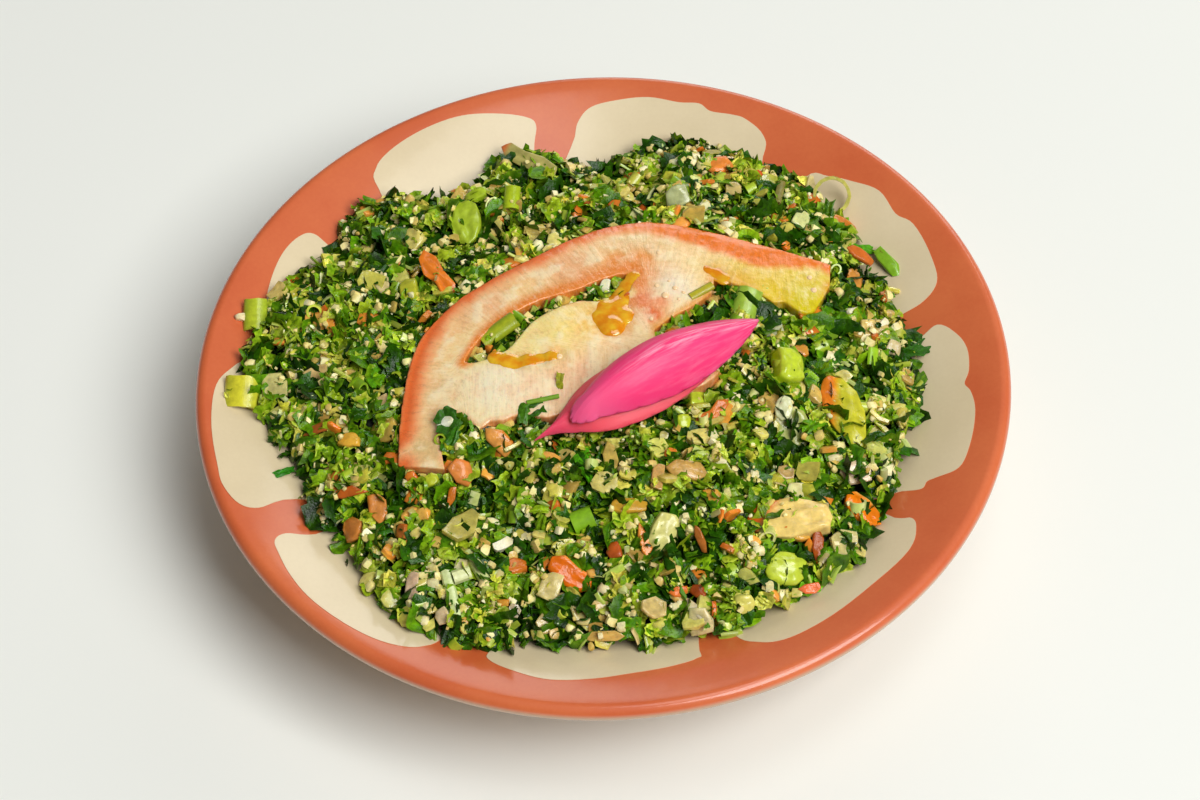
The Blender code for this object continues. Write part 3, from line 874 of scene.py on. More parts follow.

# %% [markdown]
# The leaves are laid in four lots, the last two with other things between them. Their greens run
# from a deep bottle green to a yellow green, which is partly painted light that comes through a
# leaf. The dark kinds go to the hollows and the light ones to the tops, as painted shade and
# painted light. Each of the four kinds is one piece.

# %% Lay the leaves
GREENS = {  # colours, the chance of each, and a paler second colour: the veins' own, and painted light on the rim
    "parsley_dark": (["#143702", "#1f4a02", "#0c2601"], [0.4, 0.35, 0.25], "#447408"),
    "parsley_mid": (["#396a02", "#4a7c04", "#2b5802"], [0.4, 0.3, 0.3], "#84a41a"),
    "parsley_light": (["#6c960a", "#5c8806", "#869e16"], [0.4, 0.3, 0.3], "#b4c434"),
    "parsley_bright": (
        ["#a2b61e", "#b8b82e", "#8aa612", "#c8c04c"], [0.35, 0.25, 0.25, 0.15], "#dedc74",
    ),
}
KIND_CHANCES = (0.34, 0.27, 0.22, 0.17)
LARGEST_SCRAPS = (9.0, 6.0, 4.6, 3.6)  # mm, for each kind: the light ones are the small ones
# Painted shade: the dark kinds are sent to the hollows of the clumps, and the light ones to their tops.
DARK_HOLLOWS = 0.36 / in_clumps.std()
leaf_lots = {name: [] for name in GREENS}


def lay_leaves(count, low, high, lift, lean):
    """Settles scraps of leaf and shares them out over the four kinds: the dark ones go to the hollows, as
    painted shade.
    """
    sizes = rng.uniform(0, 1, count) ** 1.6 * (high - low) + low
    places, facings = settle(sizes, lift, lean)
    cells = ((places[:, :2] + HALF) / CELL).astype(int)
    lightness = rng.uniform(0, 1, len(places)) + DARK_HOLLOWS * in_clumps[cells[:, 0], cells[:, 1]]
    rank = np.argsort(np.argsort(lightness)) / len(places)
    kinds = np.searchsorted(np.cumsum(KIND_CHANCES)[:3], rank)
    sizes = np.minimum(sizes, np.array(LARGEST_SCRAPS)[kinds])
    for index, name in enumerate(GREENS):
        rows = kinds == index
        leaf_lots[name].append((places[rows], facings[rows], sizes[rows]))
    print("laid", len(places), "scraps, lacking now", round(float(lacking()), 2), "cm3")


lay_leaves(2000, 2.8, 7.4, 0.75, 0.5)
lay_leaves(1900, 2.5, 6.8, 0.55, 0.6)

# %% [markdown]
# ## Dice, rings and tubes
#
# Onion and tomato are cut to dice, spring onion to rings and short tubes. No two dice are alike:
# onion falls apart in curved slabs, tomato in wet lumps and wedges. So a piece starts as an
# outline that the knife left, is extruded to its thickness, and has both faces inset and swollen,
# which rounds the corners as soaking does. A ring starts as a cylinder whose two ends are inset
# and bridged through.

# %% Versions of dice
HALF_THICK = 0.28  # of the thickness, before the faces swell
SOAKED = ((0.07, 0.1), (0.16, 0.04))  # how far a face is drawn in, and the share that it swells by


def cut_piece(outline, thick, seed, arch=0.0, smooth=0, skin=None):
    """A piece with this (x, y) outline, about one unit long, and soft, uneven faces."""
    ob = begin(bpy.ops.mesh.primitive_circle_add, vertices=len(outline), radius=0.5, fill_type="NGON")
    for vertex, (x, y) in zip(ob.data.vertices, outline):
        vertex.co = (x, y, -HALF_THICK * thick)
    edit(ob)
    bpy.ops.mesh.select_mode(type="FACE")
    bpy.ops.mesh.extrude_region_move(TRANSFORM_OT_translate={"value": (0, 0, 2 * HALF_THICK * thick)})
    bpy.ops.mesh.select_all(action="SELECT")
    bpy.ops.mesh.normals_make_consistent(inside=False)
    bpy.ops.mesh.select_all(action="DESELECT")
    leave_edit()
    for face in ob.data.polygons:
        face.select = abs(face.normal.z) > 0.9
    for inset, swell in SOAKED:
        bpy.ops.object.mode_set(mode="EDIT")
        bpy.ops.mesh.inset(thickness=inset, use_individual=True)
        leave_edit()
        for face in ob.data.polygons:
            if face.select:
                for index in face.vertices:
                    point = ob.data.vertices[index].co
                    point.z += math.copysign(swell * thick, point.z)
    edit(ob)
    bpy.ops.transform.vertex_random(offset=0.035, seed=seed)
    if smooth:
        # Creases keep the corners that the knife left.
        bpy.ops.transform.edge_crease(value=0.5)
        bpy.ops.transform.vert_crease(value=0.55)
    leave_edit()
    if smooth:
        apply_modifier(ob, "SUBSURF", levels=smooth, render_levels=smooth)
    for vertex in ob.data.vertices:
        x, y, z = vertex.co
        bumps = 0.09 * noise.noise(Vector((x * 4 + seed, y * 4, z * 4))) if smooth else 0.0
        vertex.co.z = z - arch * (x**2 + 0.3 * y**2) + bumps
    return version_of(ob, weight=skin or (lambda points: (points[:, 2] > 0.1 * thick).astype(float)))


def rough_outline(seed, corners, jog, count=8):
    """A round-cornered square outline, more square for more corners, jogged in and out."""
    draw = np.random.default_rng(seed)
    angles = (np.arange(count) + draw.uniform(-0.25, 0.25, count)) * math.tau / count
    reach = (np.abs(np.cos(angles)) ** corners + np.abs(np.sin(angles)) ** corners) ** (-1 / corners)
    reach *= 0.5 * np.exp(draw.normal(0, jog, count))
    return list(zip(reach * np.cos(angles), 0.85 * reach * np.sin(angles)))


def side_skin(points):
    """The share of tomato skin: one long side has it."""
    return np.clip((points[:, 1] - 0.26) * 7, 0, 1)


VERSIONS = range(8)
onion_dice = [
    cut_piece(rough_outline(k, 3.4, 0.1), 0.3, k, arch=0.5 * math.sin(k * 1.9)) for k in VERSIONS
]
tomato_dice = [
    cut_piece(rough_outline(20 + k, 4.0, 0.16), 0.42, k, arch=0.2, skin=side_skin) for k in VERSIONS
]
onion_slabs = [
    cut_piece(rough_outline(40 + k, 6, 0.16, 6), 0.3, k, 0.6 * math.sin(k * 1.7), 1) for k in VERSIONS
]
tomato_lumps = [
    cut_piece(rough_outline(60 + k, 6, 0.16, 6), 0.4, k, 0.3, 1, side_skin) for k in VERSIONS
]
print("a small dice has", len(onion_dice[0]["sizes"]), "faces, a large one", len(onion_slabs[0]["sizes"]))

# %% Versions of rings and tubes
def leek_tube(seed, sides, wall, squash):
    """A hollow tube one unit across and one long, along x."""
    ob = begin(bpy.ops.mesh.primitive_cylinder_add, vertices=sides, radius=0.5, depth=1.0)
    edit(ob)
    bpy.ops.mesh.select_mode(type="FACE")
    bpy.ops.mesh.select_all(action="DESELECT")
    leave_edit()
    for face in ob.data.polygons:
        face.select = abs(face.normal.z) > 0.9
    bpy.ops.object.mode_set(mode="EDIT")
    bpy.ops.mesh.inset(thickness=wall, use_individual=True)
    bpy.ops.mesh.delete(type="FACE")
    bpy.ops.mesh.select_mode(type="EDGE")
    bpy.ops.mesh.select_all(action="DESELECT")
    bpy.ops.mesh.select_non_manifold()
    bpy.ops.mesh.bridge_edge_loops()
    bpy.ops.mesh.select_mode(type="VERT")
    bpy.ops.mesh.select_all(action="SELECT")
    bpy.ops.mesh.normals_make_consistent(inside=False)
    bpy.ops.transform.vertex_random(offset=0.025, seed=seed)
    bpy.ops.transform.resize(value=(squash, 1.0, 1.0))
    leave_edit()
    for vertex in ob.data.vertices:
        vertex.co = (vertex.co.z, vertex.co.y, -vertex.co.x)
    bore = 0.5 - wall / 2
    return version_of(ob, weight=lambda points: (np.hypot(points[:, 1], points[:, 2]) < bore).astype(float))


tubes = [leek_tube(k, 16, 0.14, 0.85 - 0.1 * (k % 3)) for k in range(4)]
stalks = [leek_tube(k + 9, 8, 0.2, 0.8) for k in range(3)]
print("a tube has", len(tubes[0]["sizes"]), "faces")

# %% [markdown]
# ## Things that catch the eye
#
# Some pieces are big or bright enough that the eye goes to them first: the lime-green pieces of
# spring onion, the orange corners of tomato, the shells of onion. They are set one by one, each
# with its place, its length, its width, the way it points and its colour. The lie of the heap
# gives its height, and leaves that fall later keep off it.

# %% Spring onion set one by one
# Each row is x, y, length and width in mm, its way in degrees, and its colour.
SET_TUBES = [
    (-73, 18, 7.0, 5.2, 86, "#a9bc2c"), (-75, -2.5, 6.8, 7.4, 82, "#c8c832"),
    (30.5, 10.2, 6.2, 5.6, 72, "#98b83a"), (49, 44, 2.6, 2.4, 0, "#8ab82a"),
    (56, -2, 3.9, 2.4, 90, "#8fbf1e"), (-18, 43, 5.4, 3.6, 82, "#a9bf1c"),
    (-5, -42, 4.4, 4.6, 20, "#7fae1a"), (-21, 4, 8.4, 3.8, 31, "#9aa820"),
]
SET_GREEN = [
    (-40, 19, 6.8, 4.6, 90, "#b5b82c"), (-26, 47, 5.0, 3.7, 13, "#a3bd28"),
    (-9, 65, 2.7, 2.6, 0, "#a8bd3c"), (22, 49, 4.5, 4.2, 36, "#cdd66a"),
    (41, 34, 4.0, 3.5, -36, "#c8c050"), (31, 0, 4.2, 4.4, 47, "#e2dc58"),
    (19, -14, 6.0, 4.2, 82, "#b0c62c"), (16, -20, 3.1, 3.5, 0, "#b5c828"),
    (26, -60, 4.2, 4.6, 0, "#d0cc60"), (-35, -31, 2.9, 3.2, 13, "#b5c22a"),
    (34, 13, 5.2, 3.5, 74, "#b2c244"), (-32, 29, 5.6, 3.6, -25, "#b2c22e"),
    (62.2, 28.8, 8.4, 3.4, -62, "#7cae20"),
]
print("spring onion set by hand:", len(SET_TUBES) + len(SET_GREEN))

# %% Onion set one by one
SET_ONION = [
    (-68, -2, 5.8, 6.8, 0, "#c9c07a"), (-59, 0, 5.0, 3.9, -13, "#d9b878"),
    (-45, -10, 3.3, 3.7, 0, "#c9ab78"), (-45, -16, 8.5, 6.8, -19, "#bfa048"),
    (-46, 22, 5.8, 3.8, 90, "#cdbb82"), (-40, 36, 7.3, 6.2, -25, "#d2c468"),
    (-11, 34, 8.1, 6.4, -19, "#cdb860"), (1.2, 14.4, 3.6, 2.4, 75, "#ece6c0"),
    (26, 60, 7.7, 2.5, 38, "#9a9440"), (17, 41, 7.0, 6.1, 31, "#b3b986"),
    (30, 47, 3.6, 4.0, 0, "#c7b170"), (47, 49, 6.4, 2.9, 82, "#cdbd84"),
    (44, 37, 5.7, 4.3, 74, "#d5d690"), (57, 7, 6.4, 4.6, 13, "#cfb56a"),
    (61, 3, 3.8, 3.7, 0, "#cbb98a"), (36, 4, 3.8, 4.4, 0, "#c2c49a"),
    (50, -30, 7.1, 5.3, 13, "#d9bd98"), (46, -46, 5.8, 6.6, 0, "#c5b878"),
    (36, -30, 4.3, 3.7, 19, "#b8985c"), (1, -29, 8.4, 3.4, -78, "#c5ab55"),
    (16, -33, 8.0, 4.7, -10, "#c79d50"), (10, -35, 6.3, 2.9, 82, "#c59a58"),
    (-12, -56, 6.0, 4.9, 66, "#cdbb78"), (-6, -60, 5.4, 6.0, 0, "#c9b873"),
    (-13, -62, 4.2, 5.0, 0, "#bfa96a"), (-19, -60, 3.1, 3.2, 0, "#a89878"),
    (16, -61, 7.0, 2.4, -47, "#cbb890"), (17, -63, 5.4, 6.4, 0, "#cfbf8a"),
    (8, -61, 7.0, 5.1, 31, "#c8b070"), (-2, -65, 8.4, 2.4, -13, "#cda558"),
    (-29, -43, 7.8, 7.0, 25, "#b6aa54"), (-39, -54, 5.7, 3.0, 74, "#c8aa8c"),
    (-33, -61, 3.3, 3.7, 0, "#d0b890"), (38, -34, 5.0, 4.2, 0, "#ece0a0"),
    (36, -19, 5.4, 4.2, 90, "#ebe4b4"),
]
print("onion set by hand:", len(SET_ONION))

# %% Tomato set one by one
SET_TOMATO = [
    (-59, -14, 6.3, 2.9, 15, "#a45820"), (36, 51, 2.2, 2.2, 0, "#c35926"),
    (56.4, 29.4, 7.3, 4.1, -10, "#c76826"), (41, -48, 6.0, 2.5, 82, "#a44f13"),
    (7, -47, 7.2, 2.7, -66, "#e38b34"), (1, -49, 3.5, 3.7, 0, "#b4541d"),
    (-19, -51, 6.5, 5.4, -25, "#d27526"), (17, -57, 3.6, 3.4, 0, "#984516"),
    (13, -58, 3.3, 2.3, 0, "#db7229"), (18, -47, 6.4, 2.3, -78, "#b06929"),
    (-31, -34, 5.0, 2.3, 82, "#c36c1c"), (-52, -31, 6.3, 2.3, 10, "#b1591c"),
    (-41, -41, 3.9, 3.6, -31, "#c37129"), (-52, -18, 5.2, 4.8, 13, "#eab33e"),
    (28, 55, 6.8, 4.5, 15, "#e38634"), (54.2, 21.5, 8.4, 5.6, 86, "#d4903e"),
    (39, -56, 4.2, 2.6, 6, "#e97441"), (4, -40, 8.4, 4.7, 10, "#ca9a2f"),
    (-29, -30, 5.8, 6.2, 0, "#db863e"), (-46, -35, 5.8, 4.2, 90, "#d48940"),
    (-51, -38, 4.6, 5.2, 0, "#cb8138"), (-21, -24, 7.8, 4.0, -42, "#db9544"),
]
print("tomato set by hand:", len(SET_TOMATO))

# %% Leaves and stalks set one by one
SET_LEAVES = [
    (-48, -2, 7.9, 4.6, 82, "#4f8a0c"), (35, 47, 5.8, 5.3, 0, "#4f8d10"),
    (42, -30, 6.6, 7.2, 0, "#86b41a"), (-4, -31, 9.0, 3.8, -78, "#4d9a10"),
    (-31, -20, 9.6, 3.8, -78, "#2e5c10"), (57.5, 32.6, 9.0, 2.8, 16, "#4c9014"),
    (60.4, 32.0, 3.4, 2.4, -30, "#5c9a18"), (31, 11, 3.0, 2.6, 0, "#2f7a10"),
    (-65.5, -21.2, 4.6, 2.8, 30, "#2f7a14"), (66, 3.6, 7.0, 1.9, 22, "#2a5a12"),
    (66.6, 5.4, 5.0, 1.4, 52, "#2a5a12"),
]
SET_STALKS = [
    (-26, -51, 8.1, 2.4, -66, "#d0d98e"), (-31, -57, 11.0, 2.3, -78, "#ccd894"),
    (-29, -53, 3.6, 2.8, 20, "#d8dc9c"), (40, 46, 6.8, 1.9, 78, "#8a8040"),
]
print("leaves and stalks set by hand:", len(SET_LEAVES) + len(SET_STALKS))

# %% Setting pieces down
RESTING, BEDDED = 0.35, 0.25  # the share of its height by which a piece is raised or sunk
TOWARD_FRONT = 0.18  # pieces that the eye goes to lean a little towards the front
CRUMB, SMALL_SCRAP, ROUND_ABOUT = 1.2, 2.6, 1.6  # mm; what may lie on a piece, near it, and how near
on_pieces = np.zeros(grid_x.shape, bool)


def set_down(rows, thick, lean, tone, proud=1.6, ground=None, bare=0.2):
    """Beds pieces in the heap, standing proud by this many mm, or lays them on another ground.

    Later leaves keep off a piece and this far round it, in mm, and stay small close to it.
    Returns matrices, places, colours, and the colours times a tone."""
    matrices, places, main = [], [], []
    lie_of_land = np.maximum(shape_to_fill, dish_top)
    slope_x, slope_y = np.gradient(blurred(lie_of_land, 8), CELL)
    for x, y, length, width, way, colour in rows:
        height = min(length, width) * thick
        i, j = cell_at(x, y)
        base = lie_of_land[i, j] if ground is None else ground[i, j]
        # On the bare dish a piece rests, and in the heap it is bedded.
        bare_dish = ground is None and not np.isfinite(heap_top[i, j])
        z = base + (height * RESTING if bare_dish else proud - height * BEDDED)
        facing = np.array([[-slope_x[i, j], -slope_y[i, j], 1.0]])
        facing = facing + rng.normal(0, lean, (1, 3)) * [1, 1, 0.2] + np.array([[0.0, -TOWARD_FRONT, 0.0]])
        facing /= np.linalg.norm(facing)
        turn = turns(facing, np.array([math.radians(way)]))[0]
        matrices.append(turn @ np.diag([length, width, height]))
        places.append((x, y, z))
        main.append(linear(colour))
        if ground is not None:
            continue
        c, s = math.cos(math.radians(way)), math.sin(math.radians(way))
        along, over = (grid_x - x) * c + (grid_y - y) * s, (grid_y - y) * c - (grid_x - x) * s
        inside = (along / length) ** 2 + (over / width) ** 2 < 0.21
        surface[inside] = np.maximum(surface[inside], z + height * 0.2)
        on_pieces[inside] = True
        for margin, limit in ((bare, CRUMB), (bare + ROUND_ABOUT, SMALL_SCRAP)):
            close = (along / (length / 2 + margin)) ** 2 + (over / (width / 2 + margin)) ** 2 < 1
            largest[close] = np.minimum(largest[close], limit)
            if margin == bare:
                free[close] = False
    main = np.array(main)
    return np.array(matrices), np.array(places), main, main * np.array(tone)


print("cells of the height grid:", on_pieces.size)

# %% [markdown]
# ## Onion, tomato and spring onion
#
# Besides the pieces set one by one, smaller ones are mixed all through the salad, half buried.
# They settle before the last leaves do. A second colour stands for the skin or the inside of a piece.

# %% Two ways of filling a piece
def mix_in(count, low, high, lift, lean, stretch, colours, chances, spread):
    """Settles plain bits of a kind. Returns matrices, places and colours."""
    sizes = rng.uniform(low, high, count)
    places, facings = settle(sizes, lift, lean, eager=1.0)
    spin = turns(facings, rng.uniform(0, math.tau, len(places)))
    scale = sizes[:, None] * np.exp(rng.normal(0, 0.12, (len(places), 3))) * np.array(stretch)
    return spin * scale[:, None, :], places, shades(len(places), colours, chances, spread)


def join_kinds(name, versions, *lots, crease=40):
    """Joins (matrices, places, main, second) lots into one mesh, with versions picked by chance."""
    matrices, places, main, second = (np.concatenate(part) for part in zip(*lots))
    picks = rng.integers(0, len(versions), len(places))
    return joined(name, versions, picks, matrices, places, main, second, crease)


# %% Settle onion, tomato and spring onion
ONIONS = ["#d6c66c", "#c8a854", "#cac462", "#b49242", "#c4ba4e", "#b8b23c"]
ONION_CHANCES = [0.22, 0.18, 0.2, 0.16, 0.12, 0.12]
mixed = mix_in(150, 2.6, 5.6, 0.8, 0.4, (1, 1, 1), ONIONS, ONION_CHANCES, 0.1)
by_hand = set_down(SET_ONION, 1.0, 0.16, (1.05, 1.05, 1.0), proud=2.0, bare=0.4)
onion_lots = [(*mixed, mixed[2] * 1.08), by_hand]
TOMATOES = ["#db8329", "#e19a3d", "#cb7223", "#dda84a", "#bc631d"]
TOMATO_CHANCES = [0.25, 0.25, 0.2, 0.2, 0.1]
mixed = mix_in(50, 2.6, 5.0, 0.9, 0.4, (1, 1, 1), TOMATOES, TOMATO_CHANCES, 0.12)
by_hand = set_down(SET_TOMATO, 1.0, 0.14, (0.98, 0.74, 0.4), proud=2.0, bare=0.4)
tomato_lots = [(*mixed, mixed[2] * np.array([1.0, 0.7, 0.45])), by_hand]
LEEKS = ["#9ab824", "#7fa81c", "#b6c63a", "#cdd675"]
mixed = mix_in(70, 2.2, 3.6, 0.9, 0.6, (0.9, 1.0, 1.0), LEEKS, [0.3, 0.3, 0.2, 0.2], 0.1)
by_hand = set_down(SET_TUBES, 0.8, 0.1, (1.2, 1.12, 1.0), proud=1.9, bare=0.6)
tube_lots = [(*mixed, mixed[2] * np.array([1.3, 1.15, 1.8])), by_hand]
green_lots = [set_down(SET_GREEN, 0.9, 0.2, (1.08, 1.04, 1.1), proud=1.9, bare=0.5)]
stalk_lots = [set_down(SET_STALKS, 0.9, 0.12, (0.9, 0.95, 0.8))]
hand_leaves = set_down(SET_LEAVES, 1.0, 0.14, (1.2, 1.15, 1.2), proud=1.5)
print("mixed in:", [len(lots[0][1]) for lots in (onion_lots, tomato_lots, tube_lots)])

# %% [markdown]
# ## Curl of onion
#
# A thin ring of onion stands on its edge at the right of the heap. It is a tube, like the pieces
# of spring onion, but short and wide, with a wall under a millimetre thick.

# %% Curl of onion
SOFT = 75  # degrees, past which an edge of a wet piece still shows
CURL_PLACE, CURL_AXIS = (51.5, 45.8, 28.8), (-0.1, -0.66, 0.74)  # mm, and the way its axis points
CURL_BREADTH, CURL_WIDTH, CURL_HEIGHT = 1.2, 8.3, 8.8  # mm
CURL_COLOUR = "#c4c05c"
ahead = np.array(CURL_AXIS) / np.linalg.norm(CURL_AXIS)
beside = np.cross([0.0, 0.0, 1.0], ahead)
beside /= np.linalg.norm(beside)
above = np.cross(ahead, beside)
matrix = np.column_stack([ahead * CURL_BREADTH, beside * CURL_WIDTH, above * CURL_HEIGHT])
tint, place = np.array([linear(CURL_COLOUR)]), np.array([CURL_PLACE])
ring = leek_tube(21, 28, 0.09, 0.95)
curl = joined("curl", [ring], np.array([0]), matrix[None], place, tint, tint, SOFT)
finish_piece(curl, "onion_curl", "salad", onion_flesh)

# %% Join the pieces that are set one by one
onion = join_kinds("onion", onion_slabs, onion_lots[1], crease=SOFT)
finish_piece(onion, "onion_pieces", "salad", onion_flesh)
tomato = join_kinds("tomato", tomato_lumps, tomato_lots[1], crease=SOFT)
finish_piece(tomato, "tomato_pieces", "salad", tomato_dice_flesh)
finish_piece(join_kinds("tubes", tubes, *tube_lots), "spring_onion_rings", "salad", spring_onion_skin)
green_dice = [
    cut_piece(rough_outline(80 + k, 3.0, 0.08, 10), 0.55, k, arch=0.5, smooth=1) for k in range(4)
]
green = join_kinds("green", green_dice, *green_lots)
finish_piece(green, "spring_onion_pieces", "salad", spring_onion_skin)
finish_piece(join_kinds("stalks", stalks, *stalk_lots), "stalks", "salad", spring_onion_skin)

# %% [markdown]
# ## The largest pieces
#
# Thirteen pieces are so large that their own shape shows: the pale wedges of tomato with skin at
# one end, strips of skin, an oval slice of green onion, a shell of white onion with a bulb in it.
# Each gets its own outline, walked round as the knife went, and is cut the same way as the dice.

# %% Cut and set the largest pieces
LARGEST = [  # outline; x, y, length, width in mm, way, thickness; colour, second colour, skin from, proud
    ([(-.5, .1), (-.42, .36), (-.2, .48), (.1, .42), (.36, .22), (.5, -.06), (.42, -.22), (.15, -.38),
      (-.12, -.44), (-.36, -.3), (-.47, -.1)],
     49, -16, 18.0, 9.0, -67, 0.32, "#c8c430", "#e27c1c", "end", 1.3),
    ([(-.5, 0), (-.44, .3), (-.26, .42), (0, .5), (.24, .4), (.44, .34), (.5, .04), (.46, -.24),
      (.22, -.36), (0, -.44), (-.24, -.4), (-.44, -.26)],
     36, -42, 17.0, 9.6, -4, 0.4, "#f2d27a", "#da671a", "corner", 1.4),
    ([(-.5, 0), (-.4, .34), (-.1, .5), (.24, .42), (.5, .14), (.44, -.26), (.16, -.46), (-.2, -.44),
      (-.44, -.26)],
     34.5, -52, 8.8, 7.4, 10, 0.6, "#b0c41c", "#c2d23c", "top", 1.3),
    ([(-.5, 0), (-.42, .3), (-.2, .46), (.04, .5), (.3, .4), (.47, .18), (.5, -.08), (.38, -.34),
      (.12, -.48), (-.16, -.47), (-.4, -.3)],
     -28, 40, 10.6, 6.8, 90, 0.25, "#a3bb26", "#b4c83c", "top", 1.6),
    ([(-.5, .05), (-.36, .38), (-.08, .5), (.26, .44), (.5, .12), (.44, -.22), (.16, -.46), (-.2, -.42),
      (-.42, -.2)],
     38, -20.5, 9.6, 7.6, -80, 0.3, "#a2aa52", "#babe6c", "top", 1.0),
    ([(-.5, 0), (-.36, .34), (-.05, .5), (.28, .42), (.5, .08), (.4, -.32), (.05, -.5), (-.34, -.38)],
     36.4, -17.6, 5.4, 3.8, 75, 0.7, "#c4ca88", "#dcdeac", "top", 1.9),
    ([(-.5, .1), (-.28, .44), (0, .38), (.3, .5), (.5, .2), (.4, -.3), (.1, -.24), (-.14, -.5),
      (-.42, -.3)],
     -34, 21, 12.0, 4.6, -60, 0.35, "#d86e17", "#e48327", "top", 1.2),
    ([(-.5, .1), (-.36, .44), (0, .5), (.34, .34), (.5, .02), (.34, -.42), (0, -.5), (-.4, -.3)],
     51, -37.4, 9.4, 5.4, -32, 0.4, "#ec7e0f", "#eea648", "edge", 1.2),
    ([(-.5, .12), (-.3, .46), (.06, .4), (.4, .46), (.5, 0), (.36, -.4), (-.06, -.5), (-.42, -.36)],
     -8, -53, 9.8, 5.2, -36, 0.42, "#dc6b0d", "#ea8c34", "edge", 1.2),
    ([(-.5, .3), (-.3, .5), (0, .28), (.3, .34), (.5, .06), (.36, -.16), (0, -.14), (-.3, -.02)],
     22.5, -18, 8.6, 5.4, 47, 0.4, "#c55f21", "#dc802e", "top", 1.2),
    ([(-.5, 0), (-.34, .46), (.05, .5), (.44, .4), (.5, -.1), (.3, -.48), (-.1, -.42), (-.42, -.38)],
     11, -45, 8.6, 6.2, 80, 0.45, "#ccc664", "#dcd686", "top", 1.0),
    ([(-.5, .2), (-.4, .5), (0, .44), (.4, .5), (.5, .1), (.42, -.4), (0, -.5), (-.44, -.4)],
     38, -7.4, 8.0, 6.4, 96, 0.8, "#a6be0a", "#bed030", "top", 1.2),
    ([(-.5, .1), (-.4, .5), (-.1, .36), (.2, .48), (.46, .3), (.5, -.2), (.2, -.46), (-.1, -.4),
      (-.36, -.34)],
     -14.5, 59, 15.5, 4.6, -40, 0.3, "#b8ae62", "#d8723a", "tip", 1.2),
]
SKIN_FROM = {
    "end": lambda p: np.clip((-p[:, 0] - 0.12 - 0.9 * p[:, 1]) * 5, 0, 1),
    "tip": lambda p: np.clip((-p[:, 0] - 0.36) * 12, 0, 1),
    "corner": lambda p: np.clip((-p[:, 0] - 0.2 + 0.3 * p[:, 1]) * 9, 0, 1),
    "edge": lambda p: np.clip((p[:, 1] - 0.3) * 8, 0, 1),
    "top": lambda p: np.clip(p[:, 2] * 4, 0, 1),
}
shapes, lots = [], []
for k, (outline, x, y, length, width, way, thick, colour, second, skin, proud) in enumerate(LARGEST):
    shapes.append(cut_piece(outline, thick, 90 + k, arch=0.12, smooth=2, skin=SKIN_FROM[skin]))
    row = (x, y, length, width, way, colour)
    matrices, places, main, _ = set_down([row], 1.0, 0.06, (1, 1, 1), proud=proud + 0.9, bare=0.7)
    lots.append((matrices, places, main, np.array([linear(second)])))
matrices, places, main, second = (np.concatenate(part) for part in zip(*lots))
IS_TOMATO = np.array([0, 1, 6, 7, 8, 9])
picks = np.arange(len(shapes))
for name, rows, material in (
    ("tomato_wedges", IS_TOMATO, tomato_dice_flesh),
    ("green_and_white_onion", np.setdiff1d(picks, IS_TOMATO), spring_onion_skin),
):
    kept = [shapes[row] for row in rows]
    lot = (matrices[rows], places[rows], main[rows], second[rows])
    finish_piece(joined(name, kept, np.arange(len(rows)), *lot, SOFT), name, "salad", material)

# %% [markdown]
# ## Bulgur
#
# Cracked wheat, soaked until soft: grains of 1.1 to 2.6 mm, angular where they cracked, with a
# floury white cut side and an ochre bran side. A cube cut up once, softened and jogged is as
# angular as a cracked grain. They stick to leaves in little groups, with finer crumbs about them.
# Slivers of stem, green and straw-coloured, lie among them.

# %% Versions of grains and slivers
def grain(seed):
    """A cracked grain of wheat, one unit long."""
    ob = begin(bpy.ops.mesh.primitive_cube_add, size=0.9)
    edit(ob)
    bpy.ops.mesh.subdivide(number_cuts=1)
    bpy.ops.mesh.select_all(action="SELECT")
    bpy.ops.mesh.vertices_smooth(factor=0.7, repeat=1)
    bpy.ops.transform.vertex_random(offset=0.13, seed=seed)
    bpy.ops.transform.resize(value=(1.35, 1.0, 0.85))
    leave_edit()
    return version_of(ob, weight=lambda points: (points[:, 0] > 0.1).astype(float))


def sliver(seed):
    """A thin strip of stem, one unit long, bent, with a flat cross section."""
    ob = begin(bpy.ops.mesh.primitive_cylinder_add, vertices=6, radius=0.12, depth=1.0)
    edit(ob)
    bpy.ops.mesh.subdivide(number_cuts=1)
    bpy.ops.mesh.select_all(action="SELECT")
    bpy.ops.transform.vertex_random(offset=0.03, seed=seed)
    leave_edit()
    for vertex in ob.data.vertices:
        x, y, z = vertex.co
        vertex.co = (z, y * (1 + 0.5 * (seed % 3)), 0.7 * x - 0.25 * z * z)
    return version_of(ob, weight=lambda points: (points[:, 1] > 0).astype(float))


grains = [grain(seed) for seed in range(10)]
slivers = [sliver(seed) for seed in range(6)]
print("a grain has", len(grains[0]["sizes"]), "faces, a sliver", len(slivers[0]["sizes"]))

# %% Settle the first bulgur and slivers
WHEAT = ["#f2e49a", "#faf0ba", "#e8d07a", "#dab95c"]
STRAWS = ["#a3b23a", "#bccb62", "#7f9d22", "#d2d892", "#c8b878"]
STRAW_CHANCES = [0.3, 0.2, 0.25, 0.15, 0.1]
CUT_SIDE = np.array([0.8, 0.85, 0.6])  # the tone of a sliver's cut side
SET_GRAINS = [
    (-21, -46, 3.5, 2.4, 30, "#f6f0d0"), (-11, -28, 3.6, 2.6, -30, "#f0b050"),
    (-32, -19, 3.3, 2.6, 10, "#eef0d8"), (-75.7, 17.7, 2.4, 2.0, 0, "#f2e2b0"),
    (53, 11, 2.6, 2.1, 20, "#f4ecc8"), (59, 8, 2.8, 2.2, 60, "#f4ecc8"),
]
matrices, places, main = mix_in(180, 1.2, 2.6, 0.8, 0.6, (1, 1, 1), WHEAT, [0.4, 0.25, 0.25, 0.1], 0.06)
